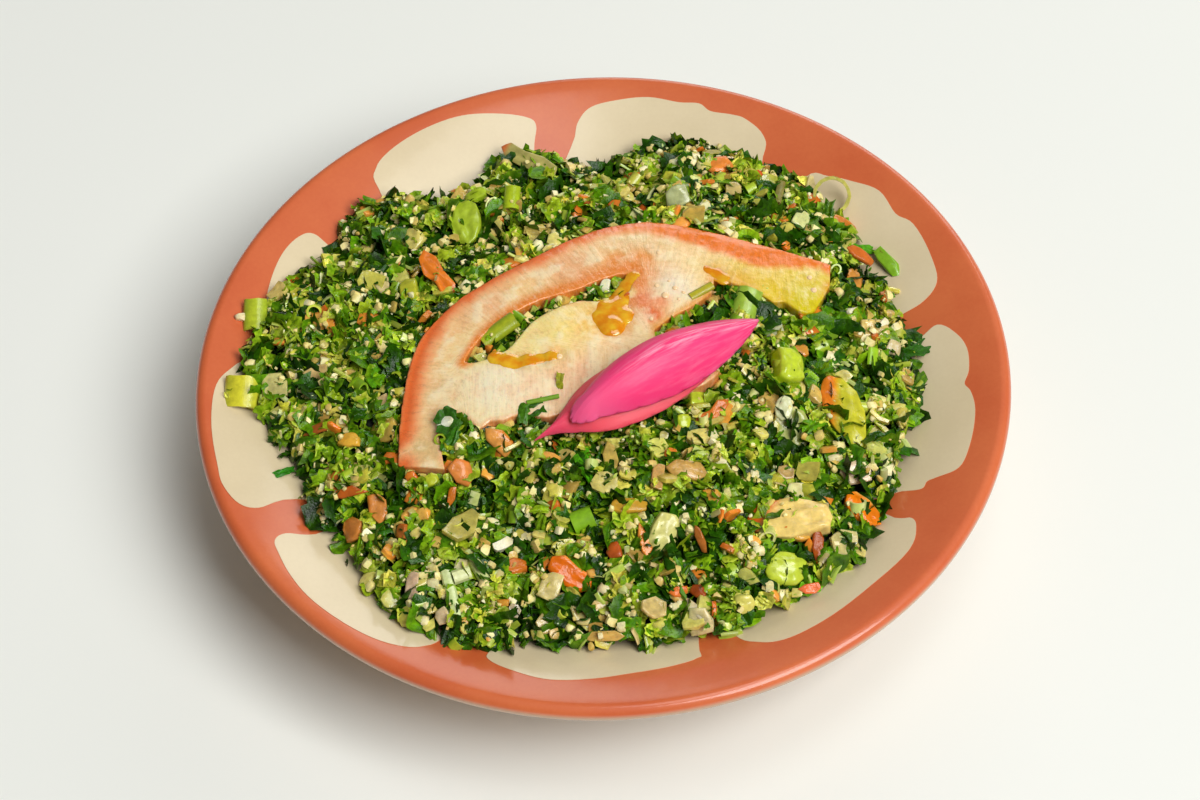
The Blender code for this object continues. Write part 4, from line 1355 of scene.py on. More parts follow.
grain_lots = [
    (matrices, places, main, main * np.array([0.9, 0.82, 0.68])),
    set_down(SET_GRAINS, 0.9, 0.1, (0.9, 0.85, 0.7), proud=1.7),
]
mixed = mix_in(420, 2.2, 5.0, 0.5, 0.5, (1, 1, 1), STRAWS, STRAW_CHANCES, 0.1)
sliver_lots = [(*mixed, mixed[2] * CUT_SIDE)]
print("grains so far:", len(places) + len(SET_GRAINS), "slivers:", len(mixed[1]))

# %% Last leaves, and the dice on them
LAST_RISE = 0.5  # mm that the last bits may lie above the rest
lay_leaves(1900, 2.1, 6.0, 0.45, 0.65)
shape_to_fill += LAST_RISE
# The last dice lie on the leaves, where their wet faces show.
mixed = mix_in(130, 2.2, 4.6, 0.6, 0.35, (1, 1, 0.9), ONIONS, ONION_CHANCES, 0.1)
onion_lots[1] = (*mixed, mixed[2] * 1.08)
onion = join_kinds("onion", onion_dice, *onion_lots, crease=42)
finish_piece(onion, "onion_dice", "salad", onion_flesh)
mixed = mix_in(50, 2.2, 4.4, 0.6, 0.35, (1, 1, 0.9), TOMATOES, TOMATO_CHANCES, 0.12)
tomato_lots[1] = (*mixed, mixed[2] * np.array([1.0, 0.7, 0.45]))
tomato = join_kinds("tomato", tomato_dice, *tomato_lots, crease=42)
finish_piece(tomato, "tomato_dice", "salad", tomato_dice_flesh)

# %% Grains, slivers and crumbs on top
# Pieces catch crumbs too, on about a third of their tops.
shape_to_fill = np.where(on_pieces, np.maximum(shape_to_fill, surface), shape_to_fill)
dusted = on_pieces & (in_clumps[::-1] > 0.3) & (from_cover > 1)
free |= dusted
sticky = free * (0.05 + np.clip(in_clumps[::-1, ::-1], 0, None) ** 2 * 4.0)
for count, low, high in ((430, 1.1, 2.4), (800, 0.5, 1.1)):
    sizes = rng.uniform(0, 1, count) ** 1.8 * (high - low) + low
    places, facings = settle(sizes, 0.35, 0.5, eager=0.6, allowed=sticky)
    matrices = turns(facings, rng.uniform(0, math.tau, count)) * sizes[:, None, None]
    main = shades(count, WHEAT, [0.5, 0.3, 0.15, 0.05], 0.05)
    grain_lots.append((matrices, places, main, main * np.array([0.92, 0.85, 0.7])))
finish_piece(join_kinds("bulgur", grains, *grain_lots, crease=60), "bulgur", "salad", soaked_bulgur)
mixed = mix_in(330, 1.8, 4.4, 0.3, 0.5, (1, 1, 1), STRAWS, STRAW_CHANCES, 0.1)
sliver_lots.append((*mixed, mixed[2] * CUT_SIDE))
finish_piece(join_kinds("slivers", slivers, *sliver_lots), "stem_slivers", "salad", spring_onion_skin)
lay_leaves(900, 1.3, 3.6, 0.25, 0.7)

# %% Join the leaves
for name, (colours, chances, edge_colour) in GREENS.items():
    places, facings, sizes = (np.concatenate(part) for part in zip(*leaf_lots[name]))
    spin = turns(facings, rng.uniform(0, math.tau, len(places)))
    stretches = sizes[:, None] * np.exp(rng.normal(0, 0.1, (len(places), 3)))
    matrices = spin * stretches[:, None, :]
    main = shades(len(places), colours, chances, 0.16)
    # The second colour is paler: the veins' and undersides' own, and painted light on the rims.
    edge = np.tile(linear(edge_colour), (len(places), 1)) * 0.5 + main * 0.75
    lots = [(matrices, places, main, edge)]
    if name == "parsley_bright":
        lots.append(hand_leaves)
    finish_piece(join_kinds(name, scraps, *lots), name, "salad", wet_parsley)

# %% [markdown]
# ## Half slice of tomato
#
# A slice across a pale, ripe-orange tomato, cut in half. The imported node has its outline, its
# open chambers and its drape. It is remeshed finely, softened, and given the relief of the cut
# flesh: the wall's fibres run from the skin inwards.

# %% Shape the slice
SLICE_VOXEL = 0.42 * MM
tomato = merged_copy("tomato_slice", "slice")
tomato.data.remesh_voxel_size = SLICE_VOXEL
select_only(tomato)
bpy.ops.object.voxel_remesh()
apply_modifier(tomato, "SMOOTH", factor=0.5, iterations=3)
print("slice:", len(tomato.data.polygons), "faces")

# %% Runs along its skin and its chambers
# Points in mm: the skin, the closed chamber from its wall to its lobe, the right and lower edges.
SKIN_RUN = [
    (-40.6, -27.3), (-40.3, -19.0), (-39.4, -9.8), (-37.6, -0.6), (-33.8, 7.8), (-28.2, 14.2),
    (-14.0, 23.3), (-1.0, 30.6), (10.5, 33.2), (21.0, 31.2), (33.0, 27.4), (49.2, 22.4),
]
CHAMBER_RUN = [
    (-28.2, -4.0), (-24.5, 2.2), (-20.0, 6.2), (-14.9, 9.6), (-9.8, 11.7), (-4.0, 13.4), (0.6, 15.9),
    (6.7, 17.3), (6.4, 12.4), (2.2, 9.4), (-4.0, 10.0), (-10.2, 7.4), (-14.4, 4.3), (-17.2, 0.6),
    (-19.4, -2.0), (-23.9, -4.0), (-28.2, -4.0),
]
RIGHT_RUN = [
    (48.5, 16.0), (44.4, 8.0), (41.1, 7.8), (38.4, 10.2), (36.0, 9.9), (32.6, 12.9), (28.1, 14.7),
    (24.0, 16.1), (23.4, 12.0), (18.8, 7.6), (11.0, 1.4), (14.0, -5.5), (23.8, -9.4),
]
BOTTOM_RUN = [
    (23.8, -9.4), (20.4, -12.8), (14.0, -14.8), (6.0, -16.6), (-7.0, -18.4), (-11.5, -19.7),
    (-16.5, -18.3), (-20.5, -19.6), (-23.0, -19.3), (-25.2, -21.0), (-28.1, -17.4), (-31.4, -16.0),
    (-33.4, -19.4), (-33.0, -24.2), (-32.2, -29.4),
]
RUN_SPACING = 0.4  # mm between the points that a run is measured at
SKIN_STEPS = 8  # between two points of the skin's run, which is rounded


def away_from(run, places):
    """How far places (x, y) in mm are from a run of straight lines, and how far along the nearest is."""
    run = np.array(run)
    reach = np.concatenate([[0], np.cumsum(np.hypot(*np.diff(run, axis=0).T))])
    steps = np.arange(0, reach[-1], RUN_SPACING)
    dense = np.column_stack([np.interp(steps, reach, run[:, k]) for k in (0, 1)])
    gaps = np.hypot(places[:, None, 0] - dense[None, :, 0], places[:, None, 1] - dense[None, :, 1])
    return gaps.min(1), steps[gaps.argmin(1)]


def carried_on(grid, passes=14):
    """A grid of heights, softly carried on over its holes and past its edge."""
    covered = np.isfinite(grid)
    weight = np.maximum(blurred(covered.astype(float), passes), 1e-6)
    return blurred(np.where(covered, grid, 0.0), passes) / weight


def skin_depth(places):
    """How far places in mm are from the skin, and how far along the skin they are."""
    return away_from(smooth_loop(SKIN_RUN, SKIN_STEPS)[: SKIN_STEPS * (len(SKIN_RUN) - 1)], places)


# %% Steepen the skin at the left end
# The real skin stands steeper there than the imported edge: its top is moved out.
STEEPER, RIM_HEIGHT = 1.3, 2.6  # mm
points = np.array([v.co for v in tomato.data.vertices]) / MM
cell_of = ((points[:, :2] + HALF) / CELL).astype(int)
level = carried_on(slice_top)[cell_of[:, 0], cell_of[:, 1]]
raised = np.clip(1 - (level - points[:, 2]) / RIM_HEIGHT, 0, 1)
depth, around = skin_depth(points)
at_left = np.clip((-30 - points[:, 0]) / 5, 0, 1) * np.clip((12 - points[:, 1]) / 8, 0, 1)
points[:, 0] -= STEEPER * raised * at_left * np.clip((5.5 - depth) / 3, 0, 1)
depth, around = skin_depth(points)
TO_LOBE = 8  # the chamber's run is its wall before this point, and its lobe after it
runs = (CHAMBER_RUN[:TO_LOBE], CHAMBER_RUN[TO_LOBE:], RIGHT_RUN, BOTTOM_RUN)
to_wall, to_lobe, to_right, to_bottom = (away_from(run, points)[0] for run in runs)
print("depth under the skin goes to", round(depth.max(), 1), "mm")

# %% [markdown]
# ## Colours of the slice
#
# They are painted on the points, in layers, as they are on the real fruit: the skin's coral that
# fades through peach to cream within six millimetres, patches such as the yellow lobe that
# carries the seeds, clouds of cream and peach in the flesh, a broad orange band along the right
# arm, a warm rim where the flesh borders on a seed chamber, and the green-yellow unripe right end.
# The cut sides are painted a darker orange, which is painted shade.

# %% Paint the slice
BY_DEPTH = [  # mm under the skin, colour
    (0.0, "#ee7030"), (0.6, "#ee7438"), (1.4, "#f08a50"), (2.4, "#f4a66e"), (3.8, "#f8c488"),
    (6.0, "#f9d292"), (10.0, "#fadb9c"),
]
PATCHES = [  # x, y, radius in mm, colour
    (43, 15, 13, "#e6c83e"), (33, 19, 8, "#eecb5c"), (-36, -23, 6, "#e2c084"), (-34, -12, 6, "#ecc890"),
    (-24, 11, 6, "#f4c08c"), (-6, 20, 7, "#efb47e"), (8, 25, 8, "#efcb92"),
    (-20.7, -11.2, 9, "#fdecc6"), (-11, -13.5, 7, "#fad2aa"), (-2, -9, 7, "#fac49a"),
    (4, -6, 7, "#fad6a2"), (-9, 3.5, 8, "#fbe08a"), (-14.4, -1.0, 4, "#fce69a"),
    (-1.9, 4.5, 4.5, "#f8d070"), (2.6, 4.5, 4.2, "#e98c1c"), (4.9, 9.3, 3.6, "#de8416"),
    (8.8, 14.5, 3.0, "#ee8a4c"), (9.3, 21.2, 3.6, "#ec9430"), (9.4, 10.0, 3.2, "#ee8650"),
    (4, 21.5, 3.0, "#ee9c48"), (-19.2, -4.2, 2.4, "#e2a014"), (-15.6, -5.2, 2.0, "#e8a822"),
    (-10.4, -3.9, 2.1, "#eba634"), (13.1, 16.6, 4.6, "#f1c490"), (15.6, 12.8, 4.4, "#f4e2c0"),
    (10.6, 5.6, 3.2, "#e87438"), (12.5, 9, 2.2, "#f0a070"), (41.5, 11.2, 4.6, "#d9bc2c"),
    (43.2, 9, 3.2, "#cfa80c"), (36, 13.2, 3.2, "#d9a818"), (24.6, 17.8, 2.6, "#e6ac2c"),
    (25.8, 15.4, 1.6, "#b57504"),
]
clouds = np.array([
    (noise.noise(Vector((a / 2.6, d / 4.5, 1.0))) + 0.6 * noise.noise(Vector((a / 0.9, d / 2.5, 3.0))),
     noise.noise(Vector((x / 3.4, y / 3.4, 8.0))) + 0.5 * noise.noise(Vector((x / 1.3, y / 1.3, 9.0))))
    for (x, y, _), a, d in zip(points, around, depth)
])


def blend_to(colours, hex_colour, share):
    """Moves colours towards another by a share from 0 to 1 for each point."""
    return colours + (np.array(linear(hex_colour)) - colours) * np.clip(share, 0, 1)[:, None]


def glow(x, y, spread):
    """A soft spot that falls off from (x, y) in mm."""
    return np.exp(-((points[:, 0] - x) ** 2 + (points[:, 1] - y) ** 2) / spread)


levels = np.array([level for level, _ in BY_DEPTH])
ramp = np.array([linear(colour) for _, colour in BY_DEPTH])
fading = np.clip(depth + 0.9 * clouds[:, 0] * np.clip(depth / 2, 0, 1), 0, None)
flesh = np.column_stack([np.interp(fading, levels, ramp[:, k]) for k in range(3)])
to_right_end = np.clip((points[:, 0] - 5) / 30, 0, 1)
for x, y, radius, colour in PATCHES:
    fade_in = np.exp(-1.3 * ((points[:, 0] - x) ** 2 + (points[:, 1] - y) ** 2) / radius**2)
    flesh = blend_to(flesh, colour, 1.25 * fade_in * np.clip((depth - 2.0) / 2.5, 0, 1))
inland = np.clip((depth - 2.8) / 1.6, 0, 1)
cream, peach = np.clip(clouds[:, 1] + 0.06, 0, 0.5), np.clip(-clouds[:, 1] - 0.12, 0, 0.4)
flesh = blend_to(flesh, "#ffedc2", 1.2 * cream * inland * (1 - 0.7 * to_right_end))
flesh = blend_to(flesh, "#f5b07a", 0.6 * peach * inland * (1 - to_right_end))
# The skin is coral at the left, and an orange band that widens along the right arm.
band = np.interp(points[:, 0], (0, 12, 34, 49), (2.6, 4.2, 7.4, 7.2))
banded = np.clip(points[:, 0] / 16, 0, 1) * np.clip((band + 0.9 - depth + 0.8 * clouds[:, 0]) / 2.2, 0, 1)
flesh = blend_to(flesh, "#ee7a10", banded)
inland *= 1 - banded
print("painted", len(PATCHES), "patches; the band covers", round(banded.mean() * 100), "% of the points")

# %% Paint the rims, the shaded sides and the unripe end
normals = np.array([v.normal for v in tomato.data.vertices])
# Painted shade: faces that turn away from the top, away from the skin, are painted a darker orange.
on_side = np.clip((0.75 - normals[:, 2]) / 0.3, 0, 1) * np.clip((depth - 0.8) / 1.0, 0, 1)
flesh = blend_to(flesh, "#f9df8c", 0.9 * np.clip(1.2 - to_lobe / 1.6, 0, 1))
rim_width = 1.5 + 0.08 * np.clip(points[:, 0] + 28, 0, 36)
flesh = blend_to(flesh, "#ea862c", 0.95 * np.clip(1.5 - to_wall / rim_width, 0, 1))
flesh = blend_to(flesh, "#e0942a", 0.8 * np.clip(1.2 - to_right / 1.6, 0, 1))
flesh = blend_to(flesh, "#f2ac7c", 0.6 * np.clip(1.15 - to_bottom / 1.0, 0, 1))
flesh = blend_to(flesh, "#e08230", 0.7 * on_side)
flesh = blend_to(flesh, "#d8c60c", 1.3 * glow(43, 10.5, 26))
flesh = blend_to(flesh, "#e8c82c", 1.1 * glow(36, 13.0, 16))
flesh = blend_to(flesh, "#e8b030", 0.8 * glow(29, 15.5, 10))
paint = tomato.data.attributes.new("bit_colour", "FLOAT_COLOR", "POINT")
# The fourth value says how much of the pale fibres shows: none of them in the skin.
paint.data.foreach_set("color", np.column_stack([flesh, inland]).ravel())

# Fibres run from the skin inwards in the wall, and up and down in the septum.
in_septum = np.clip((points[:, 0] + 31) / 4, 0, 1) * np.clip((1 - points[:, 1]) / 4, 0, 1)
over = around * (1 - in_septum) + (points[:, 0] + 60) * in_septum
inwards = depth * (1 - in_septum) + (20 - points[:, 1]) * in_septum
grain_way = tomato.data.attributes.new("along_fibres", "FLOAT_VECTOR", "POINT")
grain_way.data.foreach_set("vector", np.column_stack([over, inwards, points[:, 2]]).ravel())
print("fibres run along", round(float(around.max())), "mm of skin")

# %% Relief of the cut flesh
SWELLS = [  # x, y, radius, height in mm; the hollows go down
    (-9, 4.0, 6.5, 0.65), (-20, -12, 9, 0.35), (3, -8, 9, 0.25), (15.5, 13, 5, 0.4), (42, 11, 5, 0.3),
    (-17.5, -5.2, 2.6, -0.8), (-12.5, -4.9, 2.2, -0.7), (-8.6, -4.2, 2.0, -0.5), (3, 3, 4.2, -0.7),
    (5.5, 10, 3, -0.5), (25, 17, 2, -0.5),
]
up = np.clip((normals[:, 2] - 0.3) / 0.5, 0, 1)
rise = np.array([
    0.08 * noise.noise(Vector((a / 0.7, d / 5, 1.0))) for a, d in zip(over, inwards)
]) + 0.12 * clouds[:, 1]
for x, y, radius, height in SWELLS:
    rise += height * np.exp(-1.5 * ((points[:, 0] - x) ** 2 + (points[:, 1] - y) ** 2) / radius**2)
rise += 0.22 * np.clip(depth / 1.5, 0, 1) - 0.22
points[:, 2] += rise * up
tomato.data.vertices.foreach_set("co", (points * MM).ravel())
tomato.data.update()
select_only(tomato)
bpy.ops.object.shade_smooth()
slice_now = heights(tomato)
slice_level = carried_on(slice_now, 8)
print("relief from", round(float(rise.min()), 2), "to", round(float(rise.max()), 2), "mm")

# %% [markdown]
# ## Cut tomato flesh
#
# Flesh of a pale ripe tomato: water-filled cells that scatter light under the surface, with
# whitish fibres from the skin inwards, about 0.6 mm apart, and a wet film that sparkles.

# %% Material of the slice
cut_tomato, shader = new_material(
    "cut_tomato_flesh",
    {"Roughness": 0.3, "IOR": 1.38, "Coat Weight": 0.9, "Coat Roughness": 0.1, "Coat IOR": 1.36,
     "Subsurface Weight": 0.35, "Subsurface Radius": (1.0, 0.5, 0.25), "Subsurface Scale": 1.8 * MM},
)
place = add_node(cut_tomato, "ShaderNodeTexCoord")
own = add_node(cut_tomato, "ShaderNodeAttribute", {"attribute_name": "bit_colour"})
way = add_node(cut_tomato, "ShaderNodeAttribute", {"attribute_name": "along_fibres"})
stretch = add_node(
    cut_tomato, "ShaderNodeMapping", {"Scale": (1 / 0.6, 1 / 6.0, 0.05)}, {"Vector": (way, "Vector")}
)
fibres = add_node(
    cut_tomato, "ShaderNodeTexNoise", {"Scale": 1.0, "Detail": 3.0, "Roughness": 0.65},
    {"Vector": (stretch, 0)},
)
cells = add_node(
    cut_tomato, "ShaderNodeTexNoise", {"Scale": 1000 / 0.7, "Detail": 3.0, "Roughness": 0.7},
    {"Vector": (place, "Object")},
)
both = add_node(
    cut_tomato, "ShaderNodeMix", {"data_type": "FLOAT", 0: 0.45}, {2: (fibres, "Fac"), 3: (cells, "Fac")}
)
pale = add_node(
    cut_tomato, "ShaderNodeMapRange", {"From Min": 0.5, "From Max": 0.66, "To Max": 0.55},
    {"Value": (both, 0)},
)
deep = add_node(
    cut_tomato, "ShaderNodeMapRange", {"From Min": 0.34, "From Max": 0.5, "To Min": 0.8, "To Max": 1.0},
    {"Value": (both, 0)},
)
toned = add_node(
    cut_tomato, "ShaderNodeVectorMath", {"operation": "SCALE"}, {0: (own, "Color"), "Scale": (deep, 0)}
)
# The pale fibres are the flesh's own colour with white in it, so the skin stays red.
whiter = add_node(
    cut_tomato, "ShaderNodeMix", {"data_type": "RGBA", 0: 0.6, 7: (*linear("#fdf0d0"), 1)},
    {6: (own, "Color")},
)
inner_only = add_node(
    cut_tomato, "ShaderNodeMath", {"operation": "MULTIPLY"}, {0: (pale, 0), 1: (own, "Alpha")}
)
mixed_in = add_node(
    cut_tomato, "ShaderNodeMix", {"data_type": "RGBA"},
    {0: (inner_only, 0), 6: (toned, "Vector"), 7: (whiter, 2)},
)
cut_tomato.node_tree.links.new(mixed_in.outputs[2], shader.inputs["Base Color"])
bump = add_node(
    cut_tomato, "ShaderNodeBump", {"Strength": 0.9, "Distance": 0.12 * MM}, {"Height": (both, 0)}
)
for socket in ("Normal", "Coat Normal"):
    cut_tomato.node_tree.links.new(bump.outputs["Normal"], shader.inputs[socket])
finish_piece(tomato, "tomato_half_slice", "tomato", cut_tomato, "tomato_slice")

# %% [markdown]
# ## Seed gel
#
# The gel round the seeds is a clear amber jelly. It lies in low pools where the flesh borders on a
# seed chamber, and swells to a dome over a seed in the middle. Metaballs melt into each other as
# jelly does, so a few are laid for each pool, and then they are flattened to a third of their
# height. They are modelled a thousand times too large, since metaballs have a smallest size.

# %% Gel
GEL = [  # x, y, radius in mm, and how far the pool stands proud of the slice
    (-21.6, -3.8, 2.0, 0.4), (-19.4, -4.6, 2.6, 0.5), (-17.2, -5.6, 2.7, 0.5), (-14.8, -5.0, 2.2, 0.4),
    (-12.4, -4.4, 2.0, 0.35), (-10.2, -4.2, 1.8, 0.35), (0.0, 5.2, 2.8, 0.5), (2.2, 7.2, 3.2, 0.6),
    (3.6, 9.0, 3.0, 0.4), (5.0, 11.6, 2.6, 0.2), (6.2, 14.0, 2.3, 0.1), (7.4, 16.4, 2.0, 0.2),
    (5.0, 5.6, 2.6, 0.5), (2.2, 2.9, 3.2, 1.3), (0.6, 8.2, 2.4, 0.2), (24.4, 17.6, 2.0, 0.3),
    (26.2, 16.2, 1.8, 0.3), (22.6, 18.4, 1.6, 0.2),
]
GEL_STEP, GEL_FLAT, LARGE = 0.42, 0.32, 1000.0


def top_at(x, y):
    """Height in mm of the slice at a place, or of its top carried on over a chamber."""
    cell = cell_at(x, y)
    return float(slice_now[cell] if np.isfinite(slice_now[cell]) else slice_level[cell])


gel = begin(bpy.ops.object.metaball_add, type="BALL", radius=0.01, location=(0, 0, 0))
gel.data.resolution, gel.data.render_resolution, gel.data.threshold = GEL_STEP, GEL_STEP, 0.25
for x, y, radius, proud in GEL:
    ball = gel.data.elements.new()
    ball.co, ball.radius = (x, y, (top_at(x, y) + proud) / GEL_FLAT - radius), radius * 1.3
gel.data.elements.remove(gel.data.elements[0])
bpy.ops.object.convert(target="MESH")
gel = bpy.context.object
gel.scale = (1 / LARGE, 1 / LARGE, GEL_FLAT / LARGE)
bpy.ops.object.transform_apply(location=True, rotation=True, scale=True)
bpy.ops.object.shade_smooth()

# %% Material of the gel
amber_gel, shader = new_material(
    "tomato_seed_gel",
    {"Roughness": 0.1, "IOR": 1.35, "Transmission Weight": 0.2, "Subsurface Weight": 0.3,
     "Subsurface Radius": (1.0, 0.7, 0.2), "Subsurface Scale": 1.0 * MM, "Coat Weight": 1.0,
     "Coat Roughness": 0.03},
)
place = add_node(amber_gel, "ShaderNodeTexCoord")
thicker = add_node(
    amber_gel, "ShaderNodeTexNoise", {"Scale": 1000 / 2.4, "Detail": 2.0}, {"Vector": (place, "Object")}
)
amber = add_node(amber_gel, "ShaderNodeValToRGB", {}, {"Fac": (thicker, "Fac")})
amber.color_ramp.elements[0].position, amber.color_ramp.elements[1].position = 0.35, 0.65
amber.color_ramp.elements[0].color = (*linear("#f09408"), 1)
amber.color_ramp.elements[1].color = (*linear("#fdc828"), 1)
amber_gel.node_tree.links.new(amber.outputs["Color"], shader.inputs["Base Color"])
ripple = add_node(
    amber_gel, "ShaderNodeBump", {"Strength": 0.25, "Distance": 0.1 * MM}, {"Height": (thicker, "Fac")}
)
amber_gel.node_tree.links.new(ripple.outputs["Normal"], shader.inputs["Coat Normal"])
finish_piece(gel, "tomato_gel", "tomato", amber_gel)

# %% [markdown]
# ## Beads and crumbs
#
# A few beads of juice stand on the cut flesh: flattened spheres, each half sunk in its film. Some
# scraps of leaf and two cut stems fell on the slice, and lie on it as they do on the heap.

# %% Beads of juice
def bead(seed):
    """A low drop, one unit across."""
    ob = begin(bpy.ops.mesh.primitive_uv_sphere_add, segments=12, ring_count=7, radius=0.5)
    edit(ob)
    bpy.ops.transform.resize(value=(1.0, 0.9 + 0.05 * seed, 0.36))
    leave_edit()
    return version_of(ob)


BEADS = [
    (13.7, 10.6, 1.9), (15.8, 12.6, 1.2), (12.0, 13.4, 1.0), (17.5, 11.4, 0.9), (12.8, 23.3, 1.1),
    (10.5, 4.2, 1.0), (44.9, 13.9, 1.4), (44.3, 17.6, 1.2), (-8.7, -4.5, 1.6), (16.4, 9.6, 0.8),
    (14.6, 14.6, 0.8),
]
places = np.array([(x, y, top_at(x, y) + size * 0.04) for x, y, size in BEADS])
sizes = np.array([size for _, _, size in BEADS])
facings = np.tile([0.0, 0.0, 1.0], (len(BEADS), 1))
matrices = turns(facings, rng.uniform(0, math.tau, len(BEADS))) * sizes[:, None, None]
clear = np.ones((len(BEADS), 3))
juice, shader = new_material(
    "clear_juice",
    {"Base Color": (*linear("#f8d4a0"), 1), "Roughness": 0.4, "IOR": 1.33, "Coat Weight": 1.0,
     "Coat Roughness": 0.03},
)
beads = join_kinds("beads", [bead(0), bead(2)], (matrices, places, clear, clear), crease=180)
finish_piece(beads, "juice_beads", "tomato", juice)

# %% Crumbs on the slice
ON_SLICE_LEAVES = [
    (-8.7, -11.2, 4.0, 2.2, 86, "#8a8c20"), (-14.6, -17.6, 5.4, 4.6, 20, "#2f5c0c"),
    (-16.4, -18.4, 4.4, 3.0, 80, "#3f6e10"), (-31.5, -19.5, 6.0, 4.2, -70, "#2e5c10"),
    (-30.8, -23.5, 5.6, 4.0, 60, "#356a10"),
]
ON_SLICE_STEMS = [(21.2, 11.8, 5.8, 1.9, 34, "#a8a020"), (-12.2, -15.6, 6.6, 1.0, 9, "#6f9a20")]
on_slice = np.fmax(slice_now, surface)
leaves = set_down(ON_SLICE_LEAVES, 1.0, 0.1, (1.2, 1.15, 1.2), proud=0.9, ground=on_slice)
stems = set_down(ON_SLICE_STEMS, 0.8, 0.05, (1.1, 1.1, 0.9), proud=0.6, ground=on_slice)
finish_piece(join_kinds("crumbs", scraps, leaves), "parsley_on_slice", "salad", wet_parsley)
finish_piece(join_kinds("stems", tubes, stems), "stems_on_slice", "salad", spring_onion_skin)

# %% [markdown]
# ## Pickled onion petals
#
# Two layers of a red onion, pickled until they are bright pink all through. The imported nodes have
# their arch, points and tail. They are subdivided, and fine veins are raised along their length.

# %% Shape the petals
# Left end, right end and half of the width in mm; then how blunt the left end is made, by what
# share the far side is wider, and how much narrower the tail is made.
PETALS = {
    "onion_petal_outer": ((-15.5, -26.4), (28.5, -1.8), 8.2, 0.0, -0.06, 0.45),
    "onion_petal_inner": ((-8.2, -24.6), (33.8, 2.9), 7.4, 1.0, 0.0, 0.0),
}
VEIN_GAP, VEIN_HEIGHT = 1.3, 0.1  # mm
petals = {}
for node, (left, right, half_width, blunt, wider, tailed) in PETALS.items():
    ob = merged_copy(node, node)
    apply_modifier(ob, "SUBSURF", levels=2, render_levels=2)
    left, right = np.array(left), np.array(right)
    along = (right - left) / np.linalg.norm(right - left)
    across = np.array([-along[1], along[0]])
    middle, half = (left + right) / 2, np.linalg.norm(right - left) / 2
    points = np.array([v.co for v in ob.data.vertices]) / MM
    normals = np.array([v.normal for v in ob.data.vertices])
    share = (points[:, :2] - middle) @ along / half
    side = (points[:, :2] - middle) @ across / half_width
    fan = side / np.clip(1 - share**2, 0.12, 1)  # veins meet at both ends
    vein = np.array([
        noise.noise(Vector((f * half_width / VEIN_GAP, s * 2.2, 3.0))) for f, s in zip(fan, share)
    ])
    points += normals * (vein * VEIN_HEIGHT)[:, None]
    tip = np.clip((-0.72 - share) / 0.28, 0, 1) * blunt
    widening = tip + wider * np.clip(side * 4, 0, 1) * np.clip((0.3 - share) * 3, 0, 1)
    widening -= tailed * np.exp(-(((share + 0.88) / 0.14) ** 2))
    points[:, :2] += across * (side * half_width * widening)[:, None]
    points[:, :2] += along * (half * 0.02 * tip**2)[:, None]
    ob.data.vertices.foreach_set("co", (points * MM).ravel())
    veins = ob.data.attributes.new("along_veins", "FLOAT_VECTOR", "POINT")
    veins.data.foreach_set("vector", np.column_stack([fan * half_width, share * half, side]).ravel())
    to_tip = ob.data.attributes.new("to_tip", "FLOAT", "POINT")
    to_tip.data.foreach_set("value", np.clip((-share - 0.45) / 0.3, 0, 1))
    ob.data.update()
    select_only(ob)
    bpy.ops.object.shade_smooth()
    petals[node] = ob
    print(node, len(ob.data.polygons), "faces")

# %% [markdown]
# ## Pickled onion
#
# Red onion loses its purple in vinegar and beet juice, and turns pink all through. The flesh lets
# light into it, so it is soft at its edges, and its skin is satin more than wet. The veins are
# 0.8 mm apart and pale, and along the ridge they carry a painted highlight where the light grazes
# them. The left tip has its own tone.

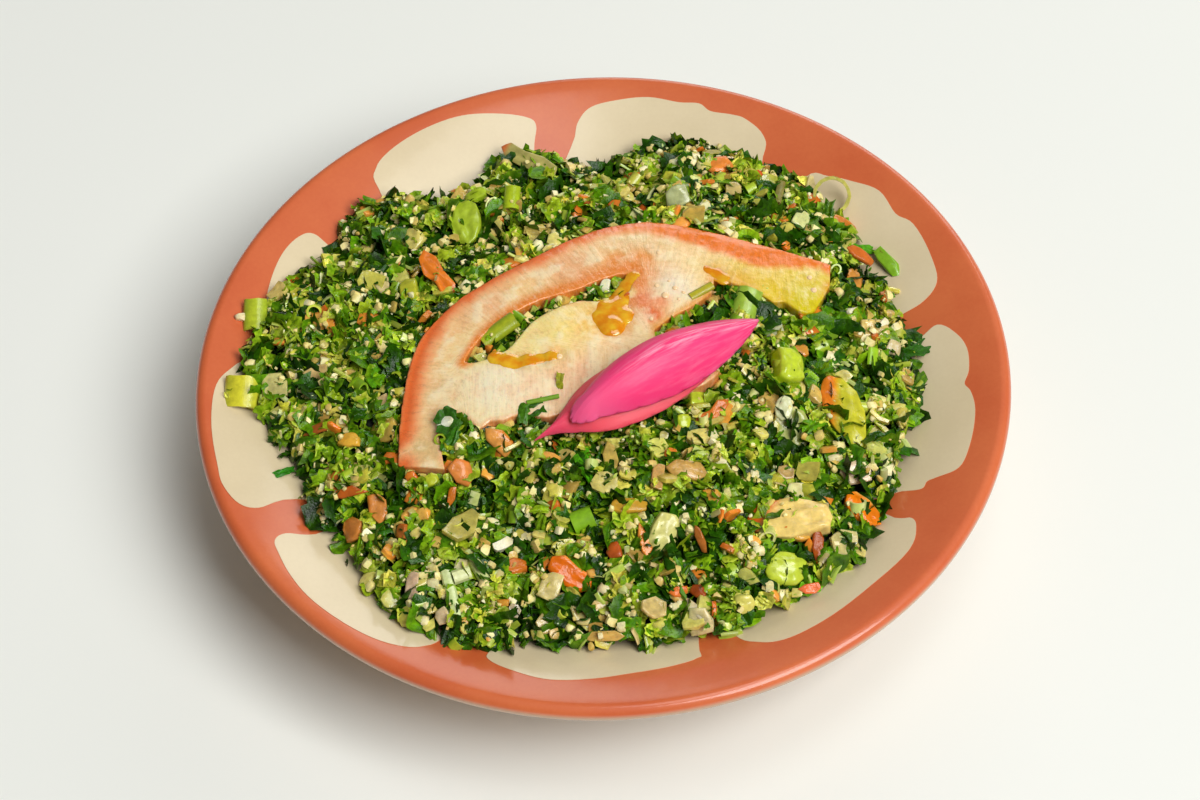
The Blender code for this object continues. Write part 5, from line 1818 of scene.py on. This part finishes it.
# %% Material of the petals
def pickled_onion(name, middle_colour, edge_colour, streak_colour, tip_colour):
    """Onion soaked in vinegar and beet juice: satin pink flesh with pale veins, and a painted highlight on
    them along the ridge.
    """
    material, shader = new_material(
        name,
        {"Roughness": 0.5, "IOR": 1.4, "Coat Weight": 0.14, "Coat Roughness": 0.2, "Coat IOR": 1.4,
         "Subsurface Weight": 0.4, "Subsurface Radius": (1.0, 0.3, 0.5), "Subsurface Scale": 2.0 * MM},
    )
    way = add_node(material, "ShaderNodeAttribute", {"attribute_name": "along_veins"})
    parts = add_node(material, "ShaderNodeSeparateXYZ", {}, {"Vector": (way, "Vector")})
    stretch = add_node(
        material, "ShaderNodeMapping", {"Scale": (1 / 0.8, 1 / 9.0, 0.0)}, {"Vector": (way, "Vector")}
    )
    veins = add_node(
        material, "ShaderNodeTexNoise", {"Scale": 1.0, "Detail": 4.0, "Roughness": 0.65},
        {"Vector": (stretch, 0)},
    )
    off_middle = add_node(material, "ShaderNodeMath", {"operation": "ABSOLUTE"}, {0: (parts, "Z")})
    edge = add_node(
        material, "ShaderNodeMapRange", {"From Min": 0.45, "From Max": 1.0}, {"Value": (off_middle, 0)}
    )
    body = add_node(
        material, "ShaderNodeMix",
        {"data_type": "RGBA", 6: (*linear(middle_colour), 1), 7: (*linear(edge_colour), 1)}, {0: (edge, 0)},
    )
    pale = add_node(
        material, "ShaderNodeMapRange", {"From Min": 0.44, "From Max": 0.66, "To Max": 1.0},
        {"Value": (veins, "Fac")},
    )
    near_ridge = add_node(
        material, "ShaderNodeMapRange", {"From Min": 0.26, "From Max": 0.02, "To Min": 0.16, "To Max": 1.0},
        {"Value": (off_middle, 0)},
    )
    right_part = add_node(
        material, "ShaderNodeMapRange", {"From Min": -14.0, "From Max": 2.0, "To Min": 0.1},
        {"Value": (parts, "Y")},
    )
    # Painted highlight: along the ridge, and most in the right part, the veins are painted pale where the
    # light grazes them.
    worn = add_node(
        material, "ShaderNodeMath", {"operation": "MULTIPLY"}, {0: (near_ridge, 0), 1: (right_part, 0)}
    )
    streaks = add_node(material, "ShaderNodeMath", {"operation": "MULTIPLY"}, {0: (pale, 0), 1: (worn, 0)})
    tint = add_node(
        material, "ShaderNodeMix", {"data_type": "RGBA", 7: (*linear(streak_colour), 1)},
        {0: (streaks, 0), 6: (body, 2)},
    )
    tip = add_node(material, "ShaderNodeAttribute", {"attribute_name": "to_tip"})
    ended = add_node(
        material, "ShaderNodeMix", {"data_type": "RGBA", 7: (*linear(tip_colour), 1)},
        {0: (tip, "Fac"), 6: (tint, 2)},
    )
    material.node_tree.links.new(ended.outputs[2], shader.inputs["Base Color"])
    bump = add_node(
        material, "ShaderNodeBump", {"Strength": 0.7, "Distance": 0.1 * MM}, {"Height": (veins, "Fac")}
    )
    for socket in ("Normal", "Coat Normal"):
        material.node_tree.links.new(bump.outputs["Normal"], shader.inputs[socket])
    return material


# The third colour of each is the painted highlight along the ridge.
outer_pink = pickled_onion("pickled_onion_outer", "#fc5464", "#f84a5c", "#ff9a98", "#ea4464")
inner_pink = pickled_onion("pickled_onion_inner", "#fc387a", "#f62e70", "#ffbcd0", "#fc5a8c")
finish_piece(petals["onion_petal_outer"], "petal_outer", "onion", outer_pink, "onion_petal_outer")
finish_piece(petals["onion_petal_inner"], "petal_inner", "onion", inner_pink, "onion_petal_inner")
